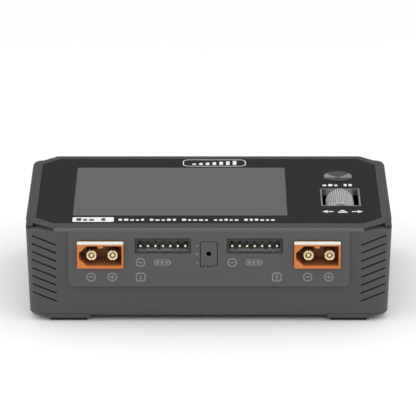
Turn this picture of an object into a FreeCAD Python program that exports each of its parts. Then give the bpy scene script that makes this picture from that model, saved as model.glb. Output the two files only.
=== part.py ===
import FreeCAD, Part
import math
import os

# Dual-channel balance charger for model batteries: a low moulded case with a glass-topped cover.
# Millimetres. +X is the operator's right, +Y points to the back, +Z is up.
# The origin is the centre of the footprint, on the surface that the rubber feet stand on.

# ---- overall size -------------------------------------------------------------------------------
CASE_WIDTH = 125.0        # across the cover's band
CASE_DEPTH = 73.9         # front face to back face of the cover's band
CASE_HEIGHT = 35.1        # standing surface to the cover's rim

# ---- moulded case -------------------------------------------------------------------------------
WALL = 2.0                # side walls and floor
CORNER_ROUND = 3.2        # upright corners of the case
FACET_START = 9.9         # the outer ends of the front fall back slightly from here
FACET_BACK = 0.6
COVER_FRONT_X = 9.9       # the cover's cut corners, across and back, with their rounding
COVER_FRONT_Y = 7.0
COVER_BACK_X = 8.3
COVER_BACK_Y = 7.6
COVER_ROUND = 8.0         # cut front corner into the side
COVER_BACK_ROUND = 1.0    # cut back corner into the side
SMALL_ROUND = 2.0
SIDE_DRAFT = 1.65         # degrees, side and back walls lean in towards the floor
FRONT_DRAFT = 3.0         # degrees, front wall
BOTTOM_BEVEL_OUT = 0.9    # the lower edge's bevel, sideways
BOTTOM_BEVEL_UP = 1.0     # the lower edge's bevel, upwards
BAND_HEIGHT = 1.5         # vertical edge of the top cover
BAND_PROUD = 0.25         # how far the band stands out from the walls
RIM_BEVEL = 0.5           # around the rim's outer edge
FIT = 0.1                 # gap between moulded pieces that drop into each other

# ---- feet ---------------------------------------------------------------------------------------
FOOT_STEP = 0.8           # moulded boss below the floor
PAD_PROUD = 1.2           # rubber below the boss
PAD_SUNK = 0.5            # rubber let into the boss
FOOT_WIDTH = 14.6
FOOT_LENGTH = 11.0
PAD_MARGIN = 1.1          # boss left around the pad
FOOT_X = 48.0             # centre of each foot from the middle
FOOT_INSET = 0.2          # foot inside the case's front and back faces

# ---- corner vents -------------------------------------------------------------------------------
VENT_COUNT = 8
VENT_PITCH = 2.99
VENT_SLOT = 0.6           # slot at the outer face
VENT_THROAT = 0.4         # slot through the rest of the wall
VENT_STEP = 0.8           # depth of the wider part
VENT_LENGTH = 8.9
VENT_TILT = 22.0          # degrees, each slot falls towards the middle
VENT_TOP = 4.95           # middle of the first slot below the rim
VENT_INSET = 6.4          # middle of the slots from the case's side
NOTCH_LIP = 0.35          # rim left above the notch at each cut front corner
NOTCH_BACK = 0.6          # how far the notch goes in under the rim
NOTCH_END = 2.5           # band left at the side
EAR_FRONT = 3.5           # that band runs forward to here behind the front face
LEDGE_THICK = 1.5         # corner of the case below the notch

# ---- glass, display, cover ----------------------------------------------------------------------
RIM_FRONT = 4.0           # flat rim around the glass
RIM_SIDE = 3.5
RIM_BACK = 3.1
GLASS_THICK = 1.05
GLASS_GAP = 0.08          # around the glass
GLASS_FRONT_X = 6.3
GLASS_FRONT_Y = 5.4
GLASS_BACK_X = 6.3
GLASS_BACK_Y = 6.2
DECK_THICK = 1.7          # cover plate below the glass
LCD_WIDTH = 84.9
LCD_DEPTH = 55.5
LCD_THICK = 2.4
LCD_CENTRE_X = -8.3
LCD_CENTRE_Y = -0.4
LCD_GAP = 0.3
TRAY_THICK = 0.3          # sheet metal tray behind the display
TRAY_FLANGE = 2.0
GLUE = 0.05               # tape between glass, display and cover

# ---- front connectors ---------------------------------------------------------------------------
PANEL_HALF = 48.0         # half the width of the raised front and back panels
PANEL_DROP = 21.5         # lower edge of the front panel below the rim
PANEL_ROUND = 2.0
PANEL_FACE = 1.8          # thickness behind the face
PANEL_RIM = 1.6           # thickness of the rim that runs back to the flange
PANEL_FLANGE = 2.0        # flange beyond the rim
FLANGE_THICK = 1.2
BOARD = 1.6               # thickness of every circuit board
CONNECTOR_GAP = 0.2       # around the sockets and headers in their panel
CONNECTOR_DEPTH = 13.0    # front face to the upright connector board
PIN_TAIL = 1.0            # pins and contacts beyond the board

SOCKET_X = 36.9           # power output sockets, from the middle
SOCKET_WIDTH = 15.9
SOCKET_HEIGHT = 9.8
SOCKET_PROUD = 1.0        # ahead of the panel
SOCKET_BEVEL = 0.35
SOCKET_ROUND = 0.5
SOCKET_CENTRE_DROP = 9.9  # centre of the housing below the rim
CAVITY_WIDTH = 14.5
CAVITY_HEIGHT = 7.2
CAVITY_DROP = 0.2         # the hollow sits this much below the housing's middle
CAVITY_DEPTH = 9.0
CAVITY_POINT = 2.6        # length of the pointed end
CAVITY_FLAT = 2.3         # flat left at the pointed end
KEY_WIDTH = 1.6           # rib inside the front sockets
KEY_HEIGHT = 0.75
BULLET_PITCH = 7.2
BULLET_SHIFT = 0.6        # contacts sit off centre, away from the pointed end
BULLET_R = 1.75
BULLET_RECESS = 0.4       # nose of a contact behind the housing's face
BULLET_BODY_R = 1.95      # thicker part that the housing holds
BULLET_HOLD = 0.02        # around the thicker part
BULLET_SLOT = 0.4         # crosswise slit at the nose
BULLET_SLOT_LENGTH = 3.0
BULLET_NOSE = 0.4         # bevel at the nose
BULLET_TAIL_R = 1.0       # tail through the board

HEADER_X = 15.6           # balance headers, from the middle
HEADER_PINS = 7
HEADER_PITCH = 2.54
HEADER_WIDTH = 18.7
HEADER_HEIGHT = 5.0
HEADER_CENTRE_DROP = 6.75
HEADER_WALL = 0.65
HEADER_CAVITY = 6.5
HEADER_PIN = 0.64         # square section of a pin
HEADER_PIN_DROP = 0.3     # pins below the header's middle
HEADER_PIN_BACK = 0.8     # tips behind the header's mouth
HEADER_NOTCH = 0.9

PORT_WIDTH = 5.5          # three-pin signal port
PORT_HEIGHT = 8.4
PORT_CENTRE_DROP = 9.6
PORT_WALL = 0.7
PORT_CAVITY = 6.0
PORT_PITCH = 2.54
PORT_GAP = 0.25           # between the plug's face and the panel
PORT_RIB_HEIGHT = 0.5     # keying ribs below the port
PORT_RIBS = ((-2.75, -2.0), (-0.15, 0.85))
PLUG_FACE = 0.9           # flange over the port's mouth, flush with the panel
PLUG_SIDE_GAP = 0.08      # around the part that enters the port
PLUG_LENGTH = 3.0
PLUG_EYE = 0.85           # radius of the pull hole in the blanking plug
PLUG_EYE_DEPTH = 2.4

# ---- button and jog wheel -----------------------------------------------------------------------
BUTTON_X = 45.5
BUTTON_Y = 14.7
BUTTON_R = 5.0
BUTTON_PROUD = 0.35
BUTTON_DISH = 0.6         # depth of the hollow in its face
BUTTON_GUIDE = 0.06       # running clearance in the cover
PRESS = 0.4               # travel of button and wheel
PRESS_CLEAR = 0.3         # left below anything pressed down
STEM_R = 2.0
PLUNGER_R = 1.5
PLUNGER_GUIDE = 0.06
SWITCH_SIDE = 6.0
SWITCH_HEIGHT = 2.5

WHEEL_X = 45.65
WHEEL_Y = -7.05
WHEEL_R = 5.0
WHEEL_LENGTH = 15.8
WHEEL_RIDGES = 40
WHEEL_RIDGE_DEPTH = 0.3
WHEEL_PROUD = 0.75
WINDOW_WIDTH = 13.7       # metal bezel around the wheel
WINDOW_LENGTH = 17.7
BEZEL_WALL = 0.55
BEZEL_DEPTH = 2.0
BEZEL_PROUD = 0.12
SHAFT_R = 1.0
SHAFT_GUIDE = 0.05
CRADLE_WALL = 1.4
CRADLE_BASE = 1.35        # plate under the wheel
PLUNGER_PROUD = 1.4       # plunger above its switch
CRADLE_WIDTH = 9.6
GUIDE_PIN_R = 1.0
GUIDE_PIN_GAP = 0.06
GUIDE_PIN_INSET = 3.4     # from the cradle's ends
ENCODER_THICK = 2.4

# ---- boards and inner parts ---------------------------------------------------------------------
MAIN_BOARD_LIFT = 1.2     # posts below the main board
BOARD_HALF = 53.0
POST_R = 2.6
POST_X = 56.4
POST_Y_FRONT = 15.5       # posts behind the front face
POST_Y_BACK = 13.0        # posts ahead of the back face
POST_LOW = 5.0            # height of the floor's posts
SCREW_R = 1.1
SCREW_HEAD_R = 2.0
SCREW_HEAD = 1.2

# ---- power components on the main board ---------------------------------------------------------
SINK_X = 33.0             # finned block of each output channel
SINK_Y = -8.0
SINK_WIDTH = 26.0
SINK_DEPTH = 15.0
SINK_BASE = 2.4
SINK_GAPS = 6
SINK_GAP = 2.4            # air between two fins
COIL_X = 11.5
COIL_Y = -12.0
COIL_R = 5.2
COIL_BORE_R = 2.0
COIL_HEIGHT = 6.0
SUPPLY_BACK = 12.0        # middle of the supply's parts ahead of the fans
CORE_X = -36.0            # transformer
CORE_WIDTH = 18.0
CORE_DEPTH = 13.0
CORE_HEIGHT = 8.8
BOBBIN_WIDTH = 13.0
BOBBIN_DEPTH = 16.0
BOBBIN_HEIGHT = 6.0
CAN_X = -15.0             # electrolytic capacitor
CAN_FORWARD = 6.0
CAN_R = 4.6
CAN_LENGTH = 15.0
BUZZER_Y = 3.0
BUZZER_R = 4.5
BUZZER_HEIGHT = 4.5
BUZZER_HOLE_R = 0.9
FUSE_X = -8.0
FUSE_BACK = 4.0
FUSE_R = 2.3
FUSE_LENGTH = 9.0
RIBBON_WIDTH = 16.0       # display's flat cable
RIBBON_THICK = 0.3
RIBBON_BACK = 8.0

# ---- fans and back connectors -------------------------------------------------------------------
FAN_SIZE = 25.0
FAN_THICK = 10.0
FAN_X = (-32.6, -6.8)
FAN_NAMES = ("left", "right")
FAN_RIM = 0.8             # frame left beside the bore
FAN_TIP_GAP = 0.5         # blade tip to bore
FAN_HUB_SHARE = 0.53      # hub radius as a share of the fan's half width
FAN_BLADES = 7
FAN_BLADE_THICK = 0.8
FAN_BLADE_PITCH = 38.0    # degrees
FAN_SHAFT_R = 1.0
FAN_SHAFT_GAP = 0.05
FAN_ARM = 1.8             # width of the arms that carry the motor
FAN_SEAT = 1.2            # thickness of the arms and the motor's seat
FAN_END_GAP = 0.4         # rotor to seat
FAN_FACE_GAP = 0.6        # rotor to panel
FAN_SCREW_INSET = 2.5     # screw from the frame's edge
FAN_SCREW_R = 1.2
GRILLE_PITCH = 3.0
GRILLE_SLOT = 1.7
DC_X = 17.4
AC_X = 36.2
AC_WIDTH = 19.0
AC_HEIGHT = 12.6
AC_DEPTH = 17.0
AC_CAVITY_WIDTH = 15.2
AC_CAVITY_HEIGHT = 8.6
AC_CAVITY_DEPTH = 11.5
AC_PIN_R = 1.2
AC_PIN_ROOT_R = AC_PIN_R + 0.2                    # shoulder held in the inlet's floor
AC_PIN_PITCH = 8.6
AC_PIN_REACH = 8.5

# ---- worked out from the above ------------------------------------------------------------------
Y_FRONT = -CASE_DEPTH / 2
Y_BACK = CASE_DEPTH / 2
Z_BODY = PAD_PROUD + FOOT_STEP                    # underside of the floor
Z_FLOOR = Z_BODY + WALL                           # top of the floor
Z_BAND = CASE_HEIGHT - BAND_HEIGHT                # lower edge of the band
Z_GLASS = CASE_HEIGHT - GLASS_THICK - GLUE        # underside of the glass
Z_DECK = Z_GLASS - GLUE                           # top of the deck that carries the glass
Z_DECK_LOW = Z_DECK - DECK_THICK
Z_MAIN = Z_FLOOR + MAIN_BOARD_LIFT
Y_CONNECTOR = Y_FRONT + CONNECTOR_DEPTH
DRAFT_HEIGHT = Z_BAND - Z_BODY
Z_SOCKET = CASE_HEIGHT - SOCKET_CENTRE_DROP
Z_HEADER = CASE_HEIGHT - HEADER_CENTRE_DROP
Z_PORT = CASE_HEIGHT - PORT_CENTRE_DROP
BULLET_REACH = CAVITY_DEPTH - BULLET_RECESS       # how far a contact stands out of the hollow's floor
Z_WHEEL = CASE_HEIGHT + WHEEL_PROUD - WHEEL_R
Z_PLUNGER = Z_WHEEL - WHEEL_R - PRESS_CLEAR - CRADLE_BASE    # top of both plungers
Z_SWITCH = Z_PLUNGER - PLUNGER_PROUD
Z_CONTROL = Z_SWITCH - SWITCH_HEIGHT              # top of the control board
VENT_REACH = WALL + CORNER_ROUND                  # far enough to pass the wall at its rounded corner
PANEL_SIDE_DEPTH = (
    BAND_PROUD + (PANEL_DROP + PANEL_FLANGE - BAND_HEIGHT) * math.tan(math.radians(FRONT_DRAFT)) + WALL + FIT
)
REAR_SIDE_DEPTH = BAND_PROUD + DRAFT_HEIGHT * math.tan(math.radians(SIDE_DRAFT)) + WALL + FIT
FAN_BORE_R = FAN_SIZE / 2 - FAN_RIM
FAN_TIP_R = FAN_BORE_R - FAN_TIP_GAP
FAN_HUB_R = FAN_HUB_SHARE * FAN_SIZE / 2
Z_FAN = Z_FLOOR + 1.0 + FAN_SIZE / 2
Y_FAN_BACK = Y_BACK - PANEL_FACE - GLUE


# ---- helpers ------------------------------------------------------------------------------------
def vec(x, y, z):
    return FreeCAD.Vector(x, y, z)


def block(x0, x1, y0, y1, z0, z1):
    """Box between two corners, with its two y values in either order."""
    y0, y1 = sorted((y0, y1))
    return Part.makeBox(x1 - x0, y1 - y0, z1 - z0, vec(x0, y0, z0))


def brick(x, y, z, width, depth, height):
    """Box standing on z, centred on x and y."""
    return block(x - width / 2, x + width / 2, y - depth / 2, y + depth / 2, z, z + height)


def rod(radius, x, y, z, length, direction=(0, 0, 1)):
    """Cylinder from a point along a direction."""
    return Part.makeCylinder(radius, length, vec(x, y, z), vec(*direction))


def rounded_loop(points, radii, place):
    """Closed wire through 2-D points with rounded corners; place(u, v) gives the 3-D point.

    radii is one radius for every corner or a list with one for each.
    """
    edges = []
    last = None
    first = None
    count = len(points)
    for i in range(count):
        before, here, after = points[i - 1], points[i], points[(i + 1) % count]
        radius = radii[i] if isinstance(radii, list) else radii
        a = (before[0] - here[0], before[1] - here[1])
        b = (after[0] - here[0], after[1] - here[1])
        la, lb = math.hypot(*a), math.hypot(*b)
        a, b = (a[0] / la, a[1] / la), (b[0] / lb, b[1] / lb)
        half = math.acos(max(-1.0, min(1.0, a[0] * b[0] + a[1] * b[1]))) / 2
        reach = min(radius / math.tan(half), 0.45 * la, 0.45 * lb)
        middle = (a[0] + b[0], a[1] + b[1])
        size = math.hypot(*middle)
        true_radius = reach * math.tan(half)
        to_arc = true_radius / math.sin(half) - true_radius
        start = place(here[0] + a[0] * reach, here[1] + a[1] * reach)
        crown = place(here[0] + middle[0] / size * to_arc, here[1] + middle[1] / size * to_arc)
        end = place(here[0] + b[0] * reach, here[1] + b[1] * reach)
        if last is not None:
            edges.append(Part.makeLine(last, start))
        else:
            first = start
        edges.append(Part.Arc(start, crown, end).toShape())
        last = end
    edges.append(Part.makeLine(last, first))
    return Part.Wire(edges)


def flat_loop(points, radius, z):
    return rounded_loop(points, radius, lambda u, v: vec(u, v, z))


def raise_loop(points, radius, z0, z1):
    """Upright prism over a rounded outline."""
    return Part.Face(flat_loop(points, radius, z0)).extrude(vec(0, 0, z1 - z0))


def face_plate(points, radius, y0, y1):
    """Plate parallel to the front face, from an outline in x and z."""
    loop = rounded_loop(points, radius, lambda u, v: vec(u, y0, v))
    return Part.Face(loop).extrude(vec(0, y1 - y0, 0))


def rectangle(x0, x1, y0, y1):
    return [(x0, y0), (x1, y0), (x1, y1), (x0, y1)]


def mirrored(right):
    """Outline from its right half, listed from the front to the back."""
    return right + [(-x, y) for x, y in reversed(right)]


def both_sides(radii):
    return radii + radii[::-1]


def cut_legs(inward, leg_x, leg_y):
    """Legs of a cut corner after its three edges have all moved in by the same amount."""
    shared = leg_x + leg_y - math.hypot(leg_x, leg_y)
    return leg_x - inward * shared / leg_y, leg_y - inward * shared / leg_x


def cover_points(inward):
    """The cover's eight-sided outline, moved in by an amount."""
    half = CASE_WIDTH / 2 - inward
    y0, y1 = Y_FRONT + inward, Y_BACK - inward
    fx, fy = cut_legs(inward, COVER_FRONT_X, COVER_FRONT_Y)
    bx, by = cut_legs(inward, COVER_BACK_X, COVER_BACK_Y)
    return mirrored([(half - fx, y0), (half, y0 + fy), (half, y1 - by), (half - bx, y1)])


def cover_radii(inward):
    return both_sides([SMALL_ROUND, COVER_ROUND - inward, COVER_BACK_ROUND, SMALL_ROUND])


def wall_points(z, inward):
    """Outline of the drafted walls at a height, moved in by a wall or a gap."""
    drop = Z_BAND - z
    side = BAND_PROUD + drop * math.tan(math.radians(SIDE_DRAFT)) + inward
    front = BAND_PROUD + drop * math.tan(math.radians(FRONT_DRAFT)) + inward
    half = CASE_WIDTH / 2 - side
    y0, y1 = Y_FRONT + front, Y_BACK - side
    facet = CASE_WIDTH / 2 - FACET_START
    return mirrored([(facet, y0), (half, y0 + FACET_BACK), (half, y1 - FACET_BACK), (facet, y1)])


def wall_face(x, z):
    """y of the front wall's outer face at a place on its outer end."""
    (x_inner, y_inner), (x_outer, y_outer) = wall_points(z, 0)[:2]
    share = (abs(x) - x_inner) / (x_outer - x_inner)
    return y_inner + share * (y_outer - y_inner)


def wall_radii(inward):
    corner = max(CORNER_ROUND - inward, 1.0)
    return both_sides([SMALL_ROUND, corner, corner, SMALL_ROUND])


def drafted(z0, z1, inward):
    """Solid between two heights inside the drafted walls."""
    loops = [flat_loop(wall_points(z, inward), wall_radii(inward), z) for z in (z0, z1)]
    return Part.makeLoft(loops, True, True)


def save(name, shape):
    """One STEP file for each piece; a group of identical pieces stays separate solids."""
    if len(shape.Solids) == 1:
        shape = shape.Solids[0]
    shape.exportStep("parts/" + name + ".step")
    print(f"{name:28s} solids {len(shape.Solids):2d}  valid {shape.isValid()}  volume {shape.Volume:10.2f}")


def group(shapes):
    return Part.makeCompound(shapes)


# ---- places shared by several pieces ------------------------------------------------------------
def foot_centres():
    """Front feet stand flush with the case's front face, back feet inside the floor's back edge."""
    loop = wall_points(Z_BODY + BOTTOM_BEVEL_UP, 0.0)
    y_front = min(y for _, y in loop) + FOOT_INSET + FOOT_LENGTH / 2
    y_back = max(y for _, y in loop) - FOOT_INSET - BOTTOM_BEVEL_OUT - FOOT_LENGTH / 2
    return {
        "front_left": (-FOOT_X, y_front), "front_right": (FOOT_X, y_front),
        "back_left": (-FOOT_X, y_back), "back_right": (FOOT_X, y_back),
    }


def post_places():
    """Screw posts that join the cover to the case."""
    return [(x, y) for x in (-POST_X, POST_X) for y in (Y_FRONT + POST_Y_FRONT, Y_BACK - POST_Y_BACK)]


def board_places():
    """Screws that hold the main board."""
    x = BOARD_HALF - 4.0
    return [(sx * x, y) for sx in (-1, 1) for y in (Y_CONNECTOR + 8.0, Y_BACK - 22.0)]


def fan_screw_places(x):
    d = FAN_SIZE / 2 - FAN_SCREW_INSET
    return [(x + sx * d, Z_FAN + sz * d) for sx in (-1, 1) for sz in (-1, 1)]


def front_panel_points(grow):
    top = Z_BAND - 0.05
    return rectangle(-PANEL_HALF - grow, PANEL_HALF + grow, CASE_HEIGHT - PANEL_DROP - grow, top)


def back_panel_points(grow):
    top = Z_BAND - 0.05
    return rectangle(-PANEL_HALF - grow, PANEL_HALF + grow, Z_FLOOR + 2 * FIT - grow, top)


# ---- moulded shells -----------------------------------------------------------------------------
def bottom_case():
    shoulder = Z_BODY + BOTTOM_BEVEL_UP
    body = drafted(shoulder, Z_BAND, 0.0)
    low = flat_loop(wall_points(shoulder, BOTTOM_BEVEL_OUT), wall_radii(BOTTOM_BEVEL_OUT), Z_BODY)
    high = flat_loop(wall_points(shoulder, 0.0), wall_radii(0.0), shoulder)
    body = body.fuse(Part.makeLoft([low, high], True, True))
    hollow = drafted(Z_FLOOR, Z_BAND + 0.01, WALL)
    for side in (-1, 1):
        hollow = hollow.cut(corner_ledge(side))
    body = body.cut(hollow)
    for x, y in foot_centres().values():
        body = body.fuse(foot_boss(x, y))
    inner_w, inner_l = FOOT_WIDTH - 2 * PAD_MARGIN, FOOT_LENGTH - 2 * PAD_MARGIN
    for x, y in foot_centres().values():
        body = body.cut(brick(x, y, PAD_PROUD, inner_w + 2 * FIT, inner_l + 2 * FIT, PAD_SUNK))
    for x, y in post_places():
        body = body.fuse(rod(POST_R, x, y, Z_BODY + 0.5, WALL - 0.5 + POST_LOW))
    for x, y in board_places():
        body = body.fuse(rod(POST_R, x, y, Z_BODY + 0.5, Z_MAIN - Z_BODY - 0.5))
        body = body.cut(rod(SCREW_R, x, y, Z_BODY + 0.8, Z_MAIN))
    for x, y in post_places():
        body = body.cut(rod(SCREW_R + FIT, x, y, 0, CASE_HEIGHT / 2))
        body = body.cut(rod(SCREW_HEAD_R + FIT, x, y, 0, Z_BODY + SCREW_HEAD + 0.4))
    body = body.cut(panel_hole(front_panel_points(FIT), Y_FRONT - 1, Y_FRONT + PANEL_SIDE_DEPTH))
    body = body.cut(panel_hole(back_panel_points(FIT), Y_BACK - REAR_SIDE_DEPTH, Y_BACK + 1))
    for side in (-1, 1):
        body = body.cut(group(corner_slots(side)))
    return body


def corner_ledge(side):
    """Ledge that closes a front corner of the case below the cover's notch."""
    x0, x1 = sorted((side * (PANEL_HALF + PANEL_FLANGE + FIT), side * CASE_WIDTH / 2))
    y1 = Y_FRONT + PANEL_SIDE_DEPTH + FLANGE_THICK
    return block(x0, x1, Y_FRONT - 1, y1, Z_BAND - LEDGE_THICK, CASE_HEIGHT)


def foot_boss(x, y):
    """Stepped foot with a small bevel around its lower edge."""
    boss = brick(x, y, PAD_PROUD, FOOT_WIDTH, FOOT_LENGTH, FOOT_STEP + 0.6)
    low = [e for e in boss.Edges if e.BoundBox.ZMax < PAD_PROUD + 0.01]
    return boss.makeChamfer(0.35, low)


def panel_plate(points, radius, y0, y1, top):
    """Plate with its two lower corners rounded and its two upper corners square."""
    x0, x1 = points[0][0], points[1][0]
    plate = face_plate(points, radius, y0, y1)
    return plate.fuse(block(x0, x1, y0, y1, points[2][1] - 2 * radius, top))


def panel_hole(points, y0, y1):
    """Window in a wall, open at the top edge where the cover closes it."""
    return panel_plate(points, PANEL_ROUND + FIT, y0, y1, Z_BAND + 1)


def corner_slots(side):
    """Vent slots at one end of the front: sloping, wide at the face and narrow through the wall."""
    slots = []
    x = side * (CASE_WIDTH / 2 - VENT_INSET)
    half = VENT_LENGTH / 2
    for i in range(VENT_COUNT):
        z = CASE_HEIGHT - VENT_TOP - i * VENT_PITCH
        y_face = wall_face(x, z)
        mouth = block(-half, half, -WALL, VENT_STEP, -VENT_SLOT / 2, VENT_SLOT / 2)
        throat = block(-half, half, 0, VENT_REACH, -VENT_THROAT / 2, VENT_THROAT / 2)
        slot = mouth.fuse(throat)
        slot.rotate(vec(0, 0, 0), vec(0, 1, 0), -side * VENT_TILT)
        slot.translate(vec(x, y_face, z))
        slots.append(slot)
    return slots


def top_cover():
    """Rim and band in one moulding with the deck that carries the glass and the display."""
    band = raise_loop(cover_points(0), cover_radii(0), Z_BAND, CASE_HEIGHT)
    edge = [e for e in band.Edges if e.BoundBox.ZMin > CASE_HEIGHT - 0.01]
    band = band.makeChamfer(RIM_BEVEL, edge)
    deck = drafted(Z_DECK_LOW, Z_BAND, WALL + FIT)
    keep = block(
        -CASE_WIDTH, CASE_WIDTH, Y_FRONT + PANEL_SIDE_DEPTH + FLANGE_THICK + FIT,
        Y_BACK - REAR_SIDE_DEPTH - FLANGE_THICK - FIT, 0, CASE_HEIGHT,
    )
    cover = band.fuse(deck.common(keep))
    cover = cover.cut(raise_loop(glass_points(GLASS_GAP), 0.8, Z_DECK, CASE_HEIGHT + 1))
    x0, x1, y0, y1 = lcd_edges(LCD_GAP)
    cover = cover.cut(block(x0, x1, y0, y1, 0, CASE_HEIGHT))
    well_x, well_y = WINDOW_WIDTH / 2 + FIT, cradle_half() + PRESS_CLEAR
    well_end = WHEEL_Y + well_y + ENCODER_THICK
    well = block(WHEEL_X - well_x, WHEEL_X + well_x, WHEEL_Y - well_y, well_end, 0, CASE_HEIGHT)
    cover = cover.cut(well)
    cover = cover.cut(rod(BUTTON_R + BUTTON_GUIDE, BUTTON_X, BUTTON_Y, 0, CASE_HEIGHT))
    low = Z_FLOOR + POST_LOW + GLUE
    for x, y in post_places():
        cover = cover.fuse(rod(POST_R, x, y, low, Z_DECK - 0.2 - low))
        cover = cover.cut(rod(SCREW_R, x, y, low - 1, 12.0))
    for side in (-1, 1):
        cover = cover.cut(corner_notch(side)).fuse(corner_ear(side))
    for x, y in tray_screw_places():
        cover = cover.cut(rod(0.7, x, y, Z_DECK_LOW - 1, 2.2))
    return cover


def glass_points(grow):
    """The glass's eight-sided outline."""
    half = CASE_WIDTH / 2 - RIM_SIDE + grow
    y0, y1 = Y_FRONT + RIM_FRONT - grow, Y_BACK - RIM_BACK + grow
    fx, fy = cut_legs(-grow, GLASS_FRONT_X, GLASS_FRONT_Y)
    bx, by = cut_legs(-grow, GLASS_BACK_X, GLASS_BACK_Y)
    return mirrored([(half - fx, y0), (half, y0 + fy), (half, y1 - by), (half - bx, y1)])


def corner_notch(side):
    """Recess under the rim at one cut front corner, sunk a little into the deck as well."""
    x0 = CASE_WIDTH / 2 - COVER_FRONT_X
    x1 = CASE_WIDTH / 2 - NOTCH_END
    low, high = sorted((side * x0, side * x1))
    top = CASE_HEIGHT - NOTCH_LIP
    notch = block(low, high, Y_FRONT - 1, Y_FRONT + COVER_FRONT_Y + 3, Z_BAND - 0.8, top)
    return notch.cut(raise_loop(cover_points(NOTCH_BACK), cover_radii(NOTCH_BACK), Z_BAND - 1, CASE_HEIGHT))


def corner_ear(side):
    """Forward end of the side's band, rounded like the case's corner, beside the notch."""
    x0, x1 = sorted((side * (CASE_WIDTH / 2 - NOTCH_END), side * CASE_WIDTH / 2))
    keep = block(x0, x1, Y_FRONT + EAR_FRONT, Y_FRONT + COVER_FRONT_Y + COVER_ROUND / 2, 0, CASE_HEIGHT)
    return raise_loop(wall_points(Z_BAND, 0), wall_radii(0), Z_BAND, CASE_HEIGHT - RIM_BEVEL).common(keep)


def lcd_edges(grow):
    """Display edges in x and y, moved out by a gap."""
    return (
        LCD_CENTRE_X - LCD_WIDTH / 2 - grow, LCD_CENTRE_X + LCD_WIDTH / 2 + grow,
        LCD_CENTRE_Y - LCD_DEPTH / 2 - grow, LCD_CENTRE_Y + LCD_DEPTH / 2 + grow,
    )


def display_glass():
    glass = raise_loop(glass_points(0), 0.8, Z_GLASS, CASE_HEIGHT - GLUE)
    glass = glass.cut(rod(BUTTON_R + 0.2, BUTTON_X, BUTTON_Y, 0, 2 * CASE_HEIGHT))
    window = brick(WHEEL_X, WHEEL_Y, 0, WINDOW_WIDTH + 2 * GLUE, WINDOW_LENGTH + 2 * GLUE, 2 * CASE_HEIGHT)
    return glass.cut(window)


def lcd_module():
    x0, x1, y0, y1 = lcd_edges(0)
    return block(x0, x1, y0, y1, Z_GLASS - GLUE - LCD_THICK, Z_GLASS - GLUE)


def tray_edges():
    x0, x1, y0, y1 = lcd_edges(LCD_GAP)
    return x0 - TRAY_FLANGE, x1 + TRAY_FLANGE, y0 - 0.5, y1 + 0.5


def tray_screw_places():
    x0, x1, y0, y1 = lcd_edges(LCD_GAP)
    return [(x, y) for x in (x0 - TRAY_FLANGE / 2, x1 + TRAY_FLANGE / 2) for y in (y0 + 6, y1 - 6)]


def lcd_tray():
    """Pressed metal tray: a pan behind the display with side flanges screwed under the deck."""
    x0, x1, y0, y1 = tray_edges()
    pan_top = Z_GLASS - GLUE - LCD_THICK - GLUE
    tray = block(x0, x1, y0, y1, pan_top - TRAY_THICK, Z_DECK_LOW - GLUE)
    lx0, lx1, ly0, ly1 = lcd_edges(LCD_GAP)
    tray = tray.cut(block(lx0, lx1, ly0, ly1, pan_top, Z_DECK))
    for x, y in tray_screw_places():
        tray = tray.cut(rod(0.8, x, y, 0, CASE_HEIGHT))
    return tray


def tray_screws():
    pan_low = Z_GLASS - 2 * GLUE - LCD_THICK - TRAY_THICK
    screws = []
    for x, y in tray_screw_places():
        shank = rod(0.65, x, y, pan_low - 0.1, Z_DECK_LOW + 1.0 - pan_low)
        screws.append(shank.fuse(rod(1.3, x, y, pan_low - 0.8, 0.8)))
    return group(screws)


def display_ribbon():
    """Flat cable from under the display down to the control board."""
    x0, x1 = LCD_CENTRE_X - RIBBON_WIDTH / 2, LCD_CENTRE_X + RIBBON_WIDTH / 2
    y_back = LCD_CENTRE_Y + RIBBON_BACK + 5.0
    top = Z_GLASS - 2 * GLUE - LCD_THICK - TRAY_THICK - GLUE
    low = Z_CONTROL + GLUE
    run = block(x0, x1, y_back - 10.0, y_back, top - RIBBON_THICK, top)
    drop = block(x0, x1, y_back - RIBBON_THICK, y_back, low, top)
    tail = block(x0, x1, y_back - 9.0, y_back, low, low + RIBBON_THICK)
    return run.fuse(drop).fuse(tail)


# ---- panels -------------------------------------------------------------------------------------
def front_panel():
    outer = front_panel_points(0)
    x0, x1, z0, z1 = outer[0][0], outer[1][0], outer[0][1], outer[2][1]
    depth = PANEL_SIDE_DEPTH + FLANGE_THICK
    panel = panel_plate(outer, PANEL_ROUND, Y_FRONT, Y_FRONT + depth, z1)
    flange = block(
        x0 - PANEL_FLANGE, x1 + PANEL_FLANGE, Y_FRONT + PANEL_SIDE_DEPTH, Y_FRONT + depth,
        z0 - PANEL_FLANGE, z1,
    )
    panel = panel.fuse(flange)
    rim = PANEL_RIM
    pocket = block(x0 + rim, x1 - rim, Y_FRONT + PANEL_FACE, Y_FRONT + depth + 1, z0 + rim, z1 - rim)
    panel = panel.cut(pocket)
    for side in (-1, 1):
        panel = panel.cut(socket_body(side * SOCKET_X, Z_SOCKET, CONNECTOR_GAP, Y_FRONT, 1))
        panel = panel.cut(header_body(side * HEADER_X, CONNECTOR_GAP))
    return panel.cut(port_body(PORT_GAP, Y_FRONT - 1, Y_FRONT + depth + 1))


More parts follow.
